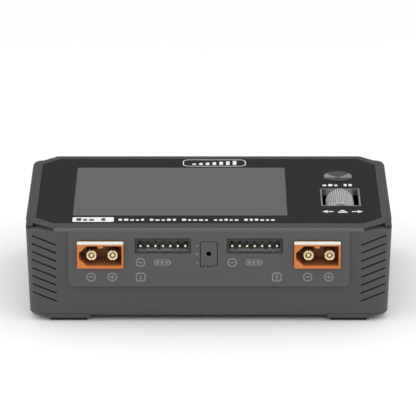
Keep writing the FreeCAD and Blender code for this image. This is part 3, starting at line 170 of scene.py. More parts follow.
def add(tree, kind, **settings):
    """New node with its properties and its inputs set by name."""
    node = tree.nodes.new(kind)
    inputs = settings.pop("inputs", {})
    for key, value in settings.items():
        setattr(node, key, value)
    for key, value in inputs.items():
        node.inputs[key].default_value = value
    return node


def feed(tree, value, socket):
    """Give a socket a plain colour or a link."""
    if isinstance(value, tuple):
        size = len(socket.default_value)
        socket.default_value = value[:size]
    else:
        tree.links.new(value, socket)


def math_node(tree, operation, a, b=None, clamp=False):
    """Math node fed by sockets or plain numbers; returns its output."""
    node = add(tree, "ShaderNodeMath", operation=operation, use_clamp=clamp)
    for index, value in enumerate((a, b)):
        if value is None:
            continue
        if isinstance(value, (int, float)):
            node.inputs[index].default_value = value
        else:
            tree.links.new(value, node.inputs[index])
    return node.outputs[0]


def new_group(name, inputs, outputs):
    """Empty node group with float sockets; inputs is a list of (name, default)."""
    tree = bpy.data.node_groups.new(name, "ShaderNodeTree")
    for label, default in inputs:
        socket = tree.interface.new_socket(name=label, in_out="INPUT", socket_type="NodeSocketFloat")
        socket.default_value = default
    for label in outputs:
        tree.interface.new_socket(name=label, in_out="OUTPUT", socket_type="NodeSocketFloat")
    return tree, tree.nodes.new("NodeGroupInput"), tree.nodes.new("NodeGroupOutput")


def noise(tree, coordinates, scale, detail=3.0, roughness=0.55):
    node = add(tree, "ShaderNodeTexNoise", inputs={"Detail": detail, "Roughness": roughness})
    tree.links.new(coordinates, node.inputs["Vector"])
    if isinstance(scale, (int, float)):
        node.inputs["Scale"].default_value = scale
    else:
        tree.links.new(scale, node.inputs["Scale"])
    return node.outputs["Fac"]


# %% The shared groups
def build_grain():
    """Grain: fine noise as height, broad noise as tone, both about 0.5."""
    scales = [("Fine scale", 9000.0), ("Broad scale", 60.0)]
    tree, source, sink = new_group("Grain", scales, ["Height", "Tone"])
    where = add(tree, "ShaderNodeTexCoord").outputs["Object"]
    tree.links.new(noise(tree, where, source.outputs["Fine scale"], 2.0, 0.6), sink.inputs["Height"])
    tree.links.new(noise(tree, where, source.outputs["Broad scale"], 4.0, 0.6), sink.inputs["Tone"])
    return tree


def build_edge_wear():
    """Edge wear: one minus the cosine between the true normal and a normal rounded over a small
    radius, broken up by noise. It is zero on flats and grows on sharp edges."""
    tree, source, sink = new_group("Edge wear", [("Radius", 0.0004), ("Amount", 1.0)], ["Mask"])
    rounded = add(tree, "ShaderNodeBevel", samples=6)
    tree.links.new(source.outputs["Radius"], rounded.inputs["Radius"])
    true_normal = add(tree, "ShaderNodeNewGeometry").outputs["Normal"]
    dot = add(tree, "ShaderNodeVectorMath", operation="DOT_PRODUCT")
    tree.links.new(rounded.outputs["Normal"], dot.inputs[0])
    tree.links.new(true_normal, dot.inputs[1])
    edge = math_node(tree, "SUBTRACT", 1.0, dot.outputs["Value"], clamp=True)
    where = add(tree, "ShaderNodeTexCoord").outputs["Object"]
    patchy = math_node(tree, "ADD", noise(tree, where, 900.0), 0.15, clamp=True)
    strong = math_node(tree, "MULTIPLY", math_node(tree, "MULTIPLY", edge, 5.0, clamp=True), patchy)
    mask = math_node(tree, "MULTIPLY", strong, source.outputs["Amount"], clamp=True)
    tree.links.new(mask, sink.inputs["Mask"])
    return tree


def build_dust():
    """Dust: how far the surface faces up, to the third power, times speckled noise."""
    tree, source, sink = new_group("Dust", [("Amount", 0.2), ("Scale", 2500.0)], ["Mask"])
    parts = add(tree, "ShaderNodeSeparateXYZ")
    tree.links.new(add(tree, "ShaderNodeNewGeometry").outputs["Normal"], parts.inputs[0])
    up = math_node(tree, "POWER", math_node(tree, "MAXIMUM", parts.outputs["Z"], 0.0), 3.0)
    where = add(tree, "ShaderNodeTexCoord").outputs["Object"]
    speck = noise(tree, where, source.outputs["Scale"], 5.0, 0.7)
    sharp = math_node(tree, "MULTIPLY", math_node(tree, "SUBTRACT", speck, 0.55, clamp=True), 4.0, clamp=True)
    speckled = math_node(tree, "MULTIPLY", up, sharp)
    mask = math_node(tree, "MULTIPLY", speckled, source.outputs["Amount"], clamp=True)
    tree.links.new(mask, sink.inputs["Mask"])
    return tree


def build_box_mask():
    """Box mask: one inside a box of object coordinates and zero outside, with a soft edge.
    Each axis gives clamp((half size - distance from the middle) / softness), and they multiply."""
    names = ["Middle X", "Middle Y", "Middle Z", "Half X", "Half Y", "Half Z"]
    tree, source, sink = new_group("Box mask", [(n, 0.0) for n in names] + [("Softness", 0.00005)], ["Mask"])
    parts = add(tree, "ShaderNodeSeparateXYZ")
    tree.links.new(add(tree, "ShaderNodeTexCoord").outputs["Object"], parts.inputs[0])
    result = None
    for axis in "XYZ":
        offset = math_node(tree, "SUBTRACT", parts.outputs[axis], source.outputs["Middle " + axis])
        away = math_node(tree, "ABSOLUTE", offset)
        room = math_node(tree, "SUBTRACT", source.outputs["Half " + axis], away)
        inside = math_node(tree, "DIVIDE", room, source.outputs["Softness"], clamp=True)
        result = inside if result is None else math_node(tree, "MULTIPLY", result, inside)
    tree.links.new(result, sink.inputs["Mask"])
    return tree


GROUPS = {"grain": build_grain(), "wear": build_edge_wear(), "dust": build_dust(), "box": build_box_mask()}
print("groups:", sorted(GROUPS))


# %% [markdown]
# ## A material step by step
#
# `Finish` starts from a Principled shader with a base colour. Its methods add one effect each:
# a broad tone change, grain in the bump, pale worn edges, dust, or a second colour inside a
# box. Values that are the same everywhere, such as the coat's roughness, are set straight on
# the shader.

# %% The Finish class
class Finish:
    """A material under construction."""

    def __init__(self, name, colour, roughness=0.5, metallic=0.0, **shader):
        self.material = bpy.data.materials.new(name)
        self.material.use_nodes = True
        self.tree = self.material.node_tree
        self.shader = self.tree.nodes["Principled BSDF"]
        self.shader.inputs["Metallic"].default_value = metallic
        self.shader.inputs["Roughness"].default_value = roughness
        for key, value in shader.items():
            self.shader.inputs[key.replace("_", " ")].default_value = value
        self.colour = colour
        self.roughness = roughness
        self.height = None

    def group(self, key, **values):
        node = add(self.tree, "ShaderNodeGroup", node_tree=GROUPS[key])
        for label, value in values.items():
            node.inputs[label.replace("_", " ")].default_value = value
        return node

    def mix(self, factor, colour):
        """Mix a second colour over the first by a mask."""
        node = add(self.tree, "ShaderNodeMix", data_type="RGBA")
        self.tree.links.new(factor, node.inputs["Factor"])
        feed(self.tree, self.colour, node.inputs["A"])
        feed(self.tree, colour, node.inputs["B"])
        self.colour = node.outputs["Result"]
        return self

    def scaled(self, factor):
        """Multiply the colour by a value that changes over the surface."""
        node = add(self.tree, "ShaderNodeVectorMath", operation="SCALE")
        feed(self.tree, self.colour, node.inputs[0])
        self.tree.links.new(factor, node.inputs["Scale"])
        self.colour = node.outputs[0]
        return self

    def tone(self, amount=0.08, broad=60.0, fine=9000.0, rough_amount=0.12, bump=0.03, distance=0.00003):
        """Uneven tone, uneven roughness and grain: base * (1 + amount * (noise - 0.5))."""
        grain = self.group("grain", Fine_scale=fine, Broad_scale=broad)
        broad_part = math_node(self.tree, "SUBTRACT", grain.outputs["Tone"], 0.5)
        shift = math_node(self.tree, "MULTIPLY", broad_part, amount)
        factor = math_node(self.tree, "ADD", shift, 1.0)
        self.scaled(factor)
        fine_part = math_node(self.tree, "SUBTRACT", grain.outputs["Height"], 0.5)
        change = math_node(self.tree, "MULTIPLY", fine_part, rough_amount)
        rough = math_node(self.tree, "ADD", change, self.roughness, clamp=True)
        self.tree.links.new(rough, self.shader.inputs["Roughness"])
        return self.bump(grain.outputs["Height"], bump, distance)

    def bump(self, height, strength, distance):
        node = add(self.tree, "ShaderNodeBump", inputs={"Strength": strength, "Distance": distance})
        self.tree.links.new(height, node.inputs["Height"])
        if self.height is not None:
            self.tree.links.new(self.height, node.inputs["Normal"])
        self.height = node.outputs["Normal"]
        return self

    def wear(self, colour, amount=0.5, radius=0.0004):
        return self.mix(self.group("wear", Radius=radius, Amount=amount).outputs["Mask"], colour)

    def dust(self, amount=0.15, colour=None, scale=2500.0):
        return self.mix(self.group("dust", Amount=amount, Scale=scale).outputs["Mask"], colour or srgb(150))

    def inside(self, low, high, colour, softness=0.00005):
        """A second colour inside a box, given by its two corners."""
        middle, half = (np.array(low) + np.array(high)) / 2, (np.array(high) - np.array(low)) / 2
        values = {f"Middle_{a}": float(m) for a, m in zip("XYZ", middle)}
        values.update({f"Half_{a}": float(h) for a, h in zip("XYZ", half)})
        return self.mix(self.group("box", Softness=softness, **values).outputs["Mask"], colour)

    def done(self):
        feed(self.tree, self.colour, self.shader.inputs["Base Color"])
        if self.height is not None:
            self.tree.links.new(self.height, self.shader.inputs["Normal"])
        return self.material


def paint(node, material):
    """Give a node of the working model its finish."""
    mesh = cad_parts[node].data
    mesh.materials.clear()
    mesh.materials.append(material)


# %% [markdown]
# ## The moulded shells
#
# The case and its cover are one dark grey plastic with a fine spark-eroded grain, painted in several shades
# for how the light falls on each face. The cover's upright band is painted lighter than the cover's top, a
# painted highlight, and the recess under each cut front corner is a deep shadow line. The front and back
# panels are the same plastic, painted a touch paler than the lower shell as painted light on their upright
# faces.

# %% Shell finishes
BAND_LOW = spans("bottom_case")[1][2]


def shell(name, level, fine=7000.0):
    finish = Finish(name, srgb(level), roughness=0.55, Specular_IOR_Level=0.35)
    return finish.tone(0.06, 45.0, fine, 0.14, 0.10, 0.00003)


def cover_finish():
    finish = shell("Cover plastic", 60)
    low, high = spans("top_cover")
    band_low = [low[0] - MM, low[1] - MM, BAND_LOW - 0.1 * MM]
    band_high = [high[0] + MM, low[1] + 0.2 * MM, high[2] - 0.3 * MM]
    # Painted highlight: the front of the upright band is painted lighter (97) than the cover's top (60).
    finish.inside(band_low, band_high, srgb(97))
    return finish.wear(srgb(135), 0.35, 0.0003).dust(0.05).done()


paint("top_cover", cover_finish())
paint("bottom_case", shell("Lower shell plastic", 76).wear(srgb(104), 0.25).dust(0.04).done())
# Painted light: the panels are the shell plastic painted paler (83) than the lower shell (76).
for panel in ("front_panel", "back_panel"):
    paint(panel, shell(panel + " plastic", 83, 8000.0).wear(srgb(112), 0.25).done())
print("shells painted")

# %% [markdown]
# ## Glass and display
#
# The top is one sheet, printed black from behind and lightly frosted against glare. The
# display behind it is switched off and shows as a plain grey area with a crisp edge. That
# area is its own thin sheet lying on the glass, with very slightly rounded corners.

# %% Glass finish
glass = Finish("Printed glass", srgb(27), roughness=0.14, Specular_IOR_Level=0.05, Coat_Weight=0.0)
paint("display_glass", glass.tone(0.03, 30.0, 12000.0, 0.06, 0.02, 0.00001).dust(0.03, srgb(120)).done())

# %% [markdown]
# ## Outlines
#
# All flat prints are closed outlines filled to a thin sheet. A rounded rectangle comes from
# walking the angle, and adding a quarter circle of the corner radius at each corner. A sheet
# is a grid of rows: the outline on the underside, the same outline on top, and one slightly
# inside it, so the print has a soft edge like real ink.

# %% Outlines and sheets
INK = 0.02 * MM


def rounded_outline(width, height, radius, per_corner=6):
    """Rounded rectangle: each corner is a quarter circle, corner centre + radius * (cos, sin)."""
    radius = min(radius, width / 2 - 1e-6, height / 2 - 1e-6)
    turn = np.linspace(0, math.pi / 2, per_corner)
    angle = np.concatenate([turn + k * math.pi / 2 for k in range(4)])
    sx = np.repeat([1, -1, -1, 1], per_corner)
    sy = np.repeat([1, 1, -1, -1], per_corner)
    x = sx * (width / 2 - radius) + radius * np.cos(angle)
    y = sy * (height / 2 - radius) + radius * np.sin(angle)
    return np.stack([x, y], axis=1)


def circle_outline(radius, count=40):
    """Circle: radius * (cos, sin)."""
    angle = np.linspace(0, 2 * math.pi, count, endpoint=False)
    return radius * np.stack([np.cos(angle), np.sin(angle)], axis=1)


def on_front(points, lift):
    """Flat (u, v) to the front face: u along x, v along z, lift towards the viewer."""
    return np.stack([points[:, 0], np.full(len(points), FRONT) - lift, points[:, 1]], axis=1)


def on_glass(points, lift):
    """Flat (u, v) to the glass: u along x, v along y, lift upwards."""
    return np.stack([points[:, 0], points[:, 1], np.full(len(points), GLASS_TOP) + lift], axis=1)


def sheet(outline, at, place, thickness=INK):
    """Filled sheet: rows of the outline at the underside, at the edge, just inside it and at the top."""
    middle = outline.mean(axis=0)
    rows = [(1.0, 0.0), (1.0, 0.6), (0.94, 1.0), (0.5, 1.0)]
    grid = [place(np.array(at) + middle + (outline - middle) * s, thickness * lift) for s, lift in rows]
    return closed_grid(np.stack(grid))


def band(outer, inner, at, place, thickness=INK):
    """Outlined ring between two outlines with the same number of points."""
    at = np.array(at)
    corners = [(outer, 0), (outer, thickness), (inner, thickness), (inner, 0)]
    grid = [place(at + outline, lift) for outline, lift in corners]
    return ring_grid(np.stack(grid))


print("outline helpers ready")

# %% The switched-off display
low, high = spans("lcd_module")
SCREEN_X = (-46.5 * MM, 26.9 * MM)
SCREEN_Y = (low[1] + 3.0 * MM, high[1] - 3.2 * MM)
screen_size = (SCREEN_X[1] - SCREEN_X[0], SCREEN_Y[1] - SCREEN_Y[0])
screen_at = (sum(SCREEN_X) / 2, sum(SCREEN_Y) / 2)
screen = make_piece(
    "display_area", [sheet(rounded_outline(*screen_size, 0.3 * MM), screen_at, on_glass)], "case"
)
display = Finish("Display off", srgb(95), roughness=0.16, Specular_IOR_Level=0.05)
screen.data.materials.append(display.tone(0.02, 12.0, 14000.0, 0.05, 0.01, 0.00001).done())
print(f"display area {screen_size[0] / MM:.1f} x {screen_size[1] / MM:.1f} mm")

# %% [markdown]
# ## Printed marks
#
# The marks are generic: polarity signs, channel numbers, small cell symbols, arrows for the
# roller and plain bars where the real one carries wording. Digits are built of bars, as on a
# segment display.

# %% Mark builders
def bar(x, y, width, height, place, turn=0.0, round_share=0.3):
    """Small rounded bar, turned about its own middle by an angle in degrees."""
    outline = rounded_outline(width, height, round_share * min(width, height), 4)
    c, s = math.cos(math.radians(turn)), math.sin(math.radians(turn))
    turned = outline @ np.array([[c, s], [-s, c]])
    return sheet(turned, (x, y), place)


def ring_mark(x, y, radius, line, place):
    return band(circle_outline(radius), circle_outline(radius - line), (x, y), place)


def sign(x, y, size, line, place, plus):
    """Minus, or plus made of one long bar and two short ones."""
    parts = [bar(x, y, size, line, place)]
    if plus:
        half = (size - line) / 2
        parts += [bar(x, y + side * (line + half) / 2, line, half, place) for side in (-1, 1)]
    return parts


def digit(number, x, y, size, line, place):
    """Figure one from a stem, a base and a flag; figure two from five bars."""
    if number == 1:
        flag = bar(x - 0.18 * size, y + 0.36 * size, 0.42 * size, line, place, 40)
        return [bar(x, y, line, size, place), bar(x, y - size / 2, 0.62 * size, line, place), flag]
    width = size * 0.55
    flat = {"top": size / 2, "middle": 0.0, "bottom": -size / 2}
    upright = {"left_up": (-1, 1), "right_up": (1, 1), "left_low": (-1, -1), "right_low": (1, -1)}
    lit = ("top", "right_up", "middle", "left_low", "bottom")
    parts = [bar(x, y + flat[k], width - line * 0.2, line, place) for k in lit if k in flat]
    for key in lit:
        if key in upright:
            sx, sy = upright[key]
            parts.append(bar(x + sx * width / 2, y + sy * size / 4, line, size / 2 - line * 1.2, place))
    return parts


def cell_symbol(x, y, width, height, line, place):
    """Battery outline with a cap and three cells."""
    outer = rounded_outline(width, height, 0.25 * height)
    inner = rounded_outline(width - 2 * line, height - 2 * line, 0.25 * height - line * 0.5)
    parts = [band(outer, inner, (x, y), place), bar(x + width / 2 + line, y, line, height * 0.45, place)]
    step = (width - 3 * line) / 3
    return parts + [bar(x + (k - 1) * step, y, step * 0.62, height - 4.2 * line, place) for k in range(3)]


def arrow(x, y, length, height, place, direction):
    """Arrow along x: a head of five points and a shaft; direction is -1 or 1."""
    head = np.array([(0.5, 0.0), (0.05, 0.5), (0.05, 0.16), (0.05, -0.16), (0.05, -0.5)])
    head = head * [length * direction, height]
    head = np.repeat(head, 3, axis=0) * 0.999 + np.roll(np.repeat(head, 3, axis=0), 1, axis=0) * 0.001
    shaft = bar(x - direction * length * 0.22, y, length * 0.5, height * 0.3, place)
    return [sheet(head, (x, y), place), shaft]


def wording(x0, x1, y, height, place, seed, gap=0.35):
    """A row of short bars of uneven length, in groups, where the real one carries small print."""
    random = np.random.default_rng(seed)
    parts, x = [], x0
    while x < x1 - height:
        count = int(random.integers(3, 7))
        for _ in range(count):
            w = height * float(random.uniform(0.45, 0.8))
            if x + w > x1:
                return parts
            tall = height * float(random.choice([0.7, 0.7, 1.0]))
            parts.append(bar(x + w / 2, y - (height - tall) / 2, w, tall, place))
            x += w + height * gap
        x += height * 0.7
    return parts


# %% Marks on the front panel
LINE = 0.36 * MM
RING = 1.6 * MM
MARK_DROP = 18.06 * MM
CELL_DROP = 12.75 * MM
front_marks = []
for side, name in ((-1, "left"), (1, "right")):
    low, high = spans("output_contacts_" + name)
    for x, plus in ((low[0] + 1.95 * MM, False), (high[0] - 1.95 * MM, True)):
        z = RIM - MARK_DROP
        front_marks.append(ring_mark(x - 0.2 * MM, z, RING, LINE, on_front))
        front_marks += sign(x - 0.2 * MM, z, 1.5 * MM, LINE, on_front, plus)
    low, high = spans("balance_pins_" + name)
    z = RIM - CELL_DROP
    front_marks.append(ring_mark(low[0] + 0.3 * MM, z, RING, LINE, on_front))
    front_marks += sign(low[0] + 0.3 * MM, z, 1.5 * MM, LINE, on_front, False)
    front_marks += cell_symbol((low[0] + high[0]) / 2 - 0.3 * MM, z, 5.2 * MM, 2.1 * MM, 0.28 * MM, on_front)
    x = side * 23.2 * MM
    outer = rounded_outline(3.3 * MM, 3.3 * MM, 1.0 * MM)
    inner = rounded_outline(3.3 * MM - 2 * LINE, 3.3 * MM - 2 * LINE, 0.75 * MM)
    front_marks.append(band(outer, inner, (x, RIM - MARK_DROP), on_front))
    front_marks += digit(1 if side < 0 else 2, x, RIM - MARK_DROP, 1.35 * MM, LINE * 0.8, on_front)
port_low, port_high = spans("signal_port")
mark_x = port_low[0] - 1.2 * MM
for k, z in enumerate(np.linspace(port_high[2] - 1.2 * MM, port_low[2] + 1.3 * MM, 3)):
    front_marks += sign(mark_x, z, 0.9 * MM, 0.28 * MM, on_front, k == 1)
marks_front = make_piece("front_marks", front_marks, "case")

# %% Marks on the glass
pill_x = (-46.5 * MM, -32.4 * MM)
pill_y = GLASS_LOW[1] + 3.8 * MM
title_x = 2.0 * MM
title_y = GLASS_HIGH[1] - 4.6 * MM
pill_at = (sum(pill_x) / 2, pill_y)
glass_white = [sheet(rounded_outline(pill_x[1] - pill_x[0], 4.5 * MM, 0.6 * MM), pill_at, on_glass)]
outer = rounded_outline(22.4 * MM, 7.2 * MM, 2.2 * MM)
inner = rounded_outline(22.4 * MM - 0.7 * MM, 7.2 * MM - 0.7 * MM, 1.85 * MM)
glass_white.append(band(outer, inner, (title_x, title_y), on_glass))
for k in range(7):
    tall = (1.6 + 0.45 * k) * MM
    bar_x = title_x + (k - 3) * 2.4 * MM
    glass_white.append(bar(bar_x, title_y - 2.1 * MM + tall / 2, 1.3 * MM, tall, on_glass))
glass_white += wording(-30.8 * MM, 24.3 * MM, pill_y - 0.2 * MM, 1.9 * MM, on_glass, 4)
button_at, wheel_at = centre("exit_button"), centre("jog_wheel")
glass_white += wording(39.8 * MM, 51.9 * MM, button_at[1] - 8.9 * MM, 2.2 * MM, on_glass, 11, 0.3)
arrow_y = spans("wheel_bezel")[0][1] - 5.3 * MM
glass_white += arrow(wheel_at[0] - 4.7 * MM, arrow_y, 4.0 * MM, 2.6 * MM, on_glass, -1)
glass_white += arrow(wheel_at[0] + 5.3 * MM, arrow_y, 4.0 * MM, 2.6 * MM, on_glass, 1)
tent = np.array([(0.0, 1.7), (1.5, 0.1), (0.5, 0.1), (-0.5, 0.1), (-1.5, 0.1)]) * MM
glass_white.append(sheet(np.repeat(tent, 2, axis=0), (wheel_at[0] + 0.3 * MM, arrow_y), on_glass))
glass_white.append(bar(wheel_at[0] + 0.3 * MM, arrow_y - 0.8 * MM, 3.4 * MM, 0.8 * MM, on_glass))
marks_glass = make_piece("glass_marks", glass_white, "case")


def on_pill(points, lift):
    return on_glass(points, lift + INK)


pill_print = wording(pill_x[0] + 1.3 * MM, pill_x[1] - 1.2 * MM, pill_y, 2.6 * MM, on_pill, 23, 0.25)
marks_pill = make_piece("pill_marks", pill_print, "case")


def ink(name, level):
    finish = Finish(name, srgb(level), roughness=0.5, Specular_IOR_Level=0.2)
    return finish.tone(0.10, 700.0, 16000.0, 0.1, 0.05, 0.000006).done()


marks_front.data.materials.append(ink("Front ink", 140))
marks_glass.data.materials.append(ink("Glass ink", 232))
marks_pill.data.materials.append(ink("Pill ink", 60))

# %% [markdown]
# ## The turned contacts
#
# Each power contact is a sprung brass tube, gold plated, with a rolled nose round a smaller
# inner post. A turned part is a profile carried round an axis: the profile lists distance
# along the axis against radius, and the sweep multiplies it by sine and cosine. Four slits
# near the nose are cut by pinching the radius in at four angles.

# %% Contacts
CONTACT_R = 1.75 * MM
BODY_R = 1.95 * MM


def turned(profile, axis_x, axis_z, count=56, slits=0, slit_depth=0.0, slit_until=0.0):
    """Turned piece along y: point = (x + r cos a, y, z + r sin a), with r cut at evenly spaced angles."""
    y, r = np.array(profile).T
    angle = np.linspace(0, 2 * math.pi, count, endpoint=False)
    pinch = np.zeros(count)
    if slits:
        phase = (angle * slits / (2 * math.pi) + 0.5) % 1.0 - 0.5
        pinch = slit_depth * (np.abs(phase) < 0.035)
    reach = (np.arange(len(y)) < slit_until)[:, None]
    radius = np.maximum(r[:, None] - pinch[None, :] * reach * (r[:, None] > 1.3 * MM), 0.02 * MM)
    x = axis_x + radius * np.cos(angle)
    z = axis_z + radius * np.sin(angle)
    return closed_grid(np.stack([x, np.broadcast_to(y[:, None], x.shape), z], axis=-1))


def contact_profile(nose, root, inward):
    """Nose profile: inner post, ring-shaped hollow, rolled lip, straight body."""
    steps = [
        (0.55, 0.10), (0.42, 0.45), (0.55, 0.62), (1.6, 0.66), (1.6, 0.95), (0.7, 1.02),
        (0.16, 1.12), (0.0, 1.30), (0.04, 1.58), (0.16, 1.70), (0.4, 1.75),
    ]
    profile = [(nose + inward * a * MM, b * MM) for a, b in steps]
    shoulder = nose + inward * 8.6 * MM
    tail = root - inward * 2.6 * MM
    return profile + [
        (shoulder, CONTACT_R), (shoulder, BODY_R), (tail, BODY_R), (tail, 1.0 * MM), (root, 1.0 * MM),
    ]


def contacts(node, name, inward):
    low, high = spans(node)
    nose, root = (low[1], high[1]) if inward > 0 else (high[1], low[1])
    z = (low[2] + high[2]) / 2
    profile = contact_profile(nose, root, inward)
    parts = [turned(profile, x, z, 64, 4, 0.35 * MM, 12) for x in (low[0] + BODY_R, high[0] - BODY_R)]
    piece = make_piece(name, parts, "case")
    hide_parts(node)
    return piece


def gold_painted_highlight(name, node, inward):
    """Painted highlight and painted reflection: the nose is painted bright, and the sides are painted dark
    brown for the brown cavity they stand in.
    """
    low, high = spans(node)
    finish = Finish(name, srgb(128, 92, 58), roughness=0.36, metallic=0.35)
    finish.tone(0.10, 700.0, 9000.0, 0.12, 0.04, 0.00001)
    nose = low[1] if inward > 0 else high[1]
    ends = sorted((nose - inward * MM, nose + inward * 1.1 * MM))
    low_corner, high_corner = [low[0] - MM, ends[0], low[2] - MM], [high[0] + MM, ends[1], high[2] + MM]
    # Painted highlight: the box round the nose is painted near white.
    return finish.inside(low_corner, high_corner, srgb(244, 226, 182), 0.0004).done()


for node, name, inward in (
    ("output_contacts_left", "turned_contacts_left", 1),
    ("output_contacts_right", "turned_contacts_right", 1),
    ("dc_input_contacts", "turned_contacts_back", -1),
):
    contacts(node, name, inward).data.materials.append(gold_painted_highlight(name + " gold", node, inward))

# %% [markdown]
# ## Sockets
#
# The power sockets are orange nylon. Their upper bevel carries a painted highlight, almost white, and
# deep inside they are painted brown, a painted shade for the little light that gets out again. The balance
# headers and the signal port are dark nylon, a little glossier than the case; the headers' hollows are
# painted paler, a painted light.

# %% Socket finishes
def socket_finish(name, node, outward_y):
    low, high = spans(node)
    finish = Finish(name, srgb(208, 120, 52), roughness=0.42, Specular_IOR_Level=0.4)
    finish.tone(0.06, 220.0, 6000.0, 0.12, 0.08, 0.00002)
    face = low[1] if outward_y < 0 else high[1]
    # Painted shade: the inside of the socket is painted brown.
    inner = sorted((face - outward_y * 0.75 * MM, face - outward_y * 14 * MM))
    margin = 0.55 * MM
    finish.inside(
        [low[0] + margin, inner[0], low[2] + margin], [high[0] - margin, inner[1], high[2] - margin],
        srgb(168, 108, 66), 0.0004,
    )
    # Painted highlight: a near-white band along the top bevel.
    highlight_span = sorted((face - outward_y * 0.62 * MM, face + outward_y * MM))
    highlight_low = [low[0], highlight_span[0], high[2] - 0.95 * MM]
    highlight_high = [high[0], highlight_span[1], high[2] + MM]
    finish.inside(highlight_low, highlight_high, srgb(226, 234, 226), 0.00008)
    return finish.wear(srgb(240, 176, 120), 0.25, 0.0002).done()


paint("output_socket_left", socket_finish("Left socket nylon", "output_socket_left", -1))
paint("output_socket_right", socket_finish("Right socket nylon", "output_socket_right", -1))
paint("dc_input_socket", socket_finish("Back socket nylon", "dc_input_socket", 1))


def dark_nylon(name, level):
    finish = Finish(name, srgb(level), roughness=0.4, Specular_IOR_Level=0.4)
    return finish.tone(0.08, 200.0, 7000.0, 0.1, 0.08, 0.00002).wear(srgb(level + 30), 0.3, 0.0002).done()


def header_finish(name, node):
    """Dark rim; the hollow is painted a paler tone, a painted light for the light that goes in and comes back
    out.
    """
    low, high = spans(node)
    finish = Finish(name, srgb(46), roughness=0.4, Specular_IOR_Level=0.4)
    finish.tone(0.08, 200.0, 7000.0, 0.1, 0.08, 0.00002)
    edge = 0.55 * MM
    hollow_painted_light_low = [low[0] + edge, low[1] + 0.3 * MM, low[2]]
    hollow_painted_light_high = [high[0] - edge, high[1], high[2] - edge]
    # Painted light: the hollow is painted pale grey.
    return finish.inside(hollow_painted_light_low, hollow_painted_light_high, srgb(160), 0.0002).done()


paint("balance_header_left", header_finish("Left header nylon", "balance_header_left"))
paint("balance_header_right", header_finish("Right header nylon", "balance_header_right"))
black_nylon = dark_nylon("Black nylon", 50)
for node in ("wheel_encoder", "wheel_switch", "exit_switch", "buzzer"):
    paint(node, black_nylon)
paint("signal_port", dark_nylon("Port nylon", 78))
paint("mains_inlet", dark_nylon("Inlet nylon", 34))


def plug_finish(level=83):
    """Panel-coloured face; the pull hole is painted black all the way in, a painted shade."""
    low, high = spans("port_plug")
    eye = 0.9 * MM
    x, z = (low[0] + high[0]) / 2, RIM - 9.6 * MM
    finish = Finish("Plug plastic", srgb(level), roughness=0.55, Specular_IOR_Level=0.35)
    finish.tone(0.06, 45.0, 8000.0, 0.14, 0.10, 0.00003)
    # Painted shade: the pull hole is painted near black.
    return finish.inside([x - eye, FRONT + 0.12 * MM, z - eye], [x + eye, high[1], z + eye], srgb(10)).done()


paint("port_plug", plug_finish())
print("sockets painted")

# %% [markdown]
# ## The roller and its frame
#
# The jog wheel is a bright metal roller with ridges along it. Its surface is a function of
# the angle and the length: the radius drops by a smooth square wave of the angle, and rounds
# off towards both ends. The frame round it keeps its model shape and gets a brushed finish.

# %% The ridged roller
def roller(node, ridges=40, depth=0.32 * MM):
    """Radius(angle, length) = R - depth * (0.5 - 0.5 tanh(3 cos(ridges angle))) - end rounding."""
    low, high = spans(node)
    x, z = (low[0] + high[0]) / 2, (low[2] + high[2]) / 2
    full = (high[2] - low[2]) / 2
    count = ridges * 12
    angle = np.linspace(0, 2 * math.pi, count, endpoint=False)
    wave = 0.5 - 0.5 * np.tanh(3 * np.cos(ridges * angle)) / math.tanh(3)
    along = np.array([0, 0.0, 0.05, 0.15, 0.3, 0.5, 2, 5])
    inset = np.array([1.5, 0.55, 0.32, 0.15, 0.05, 0, 0, 0]) * MM
    y = np.concatenate([low[1] + along * MM, (high[1] - along * MM)[::-1]])
    inset = np.concatenate([inset, inset[::-1]])
    radius = full - inset[:, None] - depth * wave[None, :] * (inset[:, None] < 1.0 * MM)
    grid = np.stack([
        x + radius * np.cos(angle), np.broadcast_to(y[:, None], radius.shape), z + radius * np.sin(angle)
    ], axis=-1)
    return closed_grid(grid)


roller_piece = make_piece("ridged_roller", [roller("jog_wheel")], "jog_wheel", 60)
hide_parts("jog_wheel")


def axis_distance(tree, shift, first, second):
    """Distance from an axis: square root of the sum of two squared coordinates."""
    mapping = add(tree, "ShaderNodeMapping", inputs={"Location": tuple(shift)})
    tree.links.new(add(tree, "ShaderNodeTexCoord").outputs["Object"], mapping.inputs["Vector"])
    parts = add(tree, "ShaderNodeSeparateXYZ")
    tree.links.new(mapping.outputs["Vector"], parts.inputs[0])
    squares = [math_node(tree, "MULTIPLY", parts.outputs[a], parts.outputs[a]) for a in (first, second)]
    return math_node(tree, "SQRT", math_node(tree, "ADD", *squares))


def metal(name, level, roughness=0.3, stretch=(1.0, 1.0, 1.0), fine=3000.0, bump=0.12, metallic=1.0):
    """Brushed metal: noise stretched along one axis drives roughness, colour and bump."""
    finish = Finish(name, srgb(level), roughness=roughness, metallic=metallic)
    tree = finish.tree
    mapping = add(tree, "ShaderNodeMapping", inputs={"Scale": stretch})
    tree.links.new(add(tree, "ShaderNodeTexCoord").outputs["Object"], mapping.inputs["Vector"])
    lines = noise(tree, mapping.outputs["Vector"], fine, 4.0, 0.6)
    change = math_node(tree, "MULTIPLY", math_node(tree, "SUBTRACT", lines, 0.5), 0.35)
    tree.links.new(math_node(tree, "ADD", change, roughness, clamp=True), finish.shader.inputs["Roughness"])
    finish.scaled(math_node(tree, "ADD", math_node(tree, "MULTIPLY", change, 0.8), 1.0))
    return finish.bump(lines, bump, 0.00002)


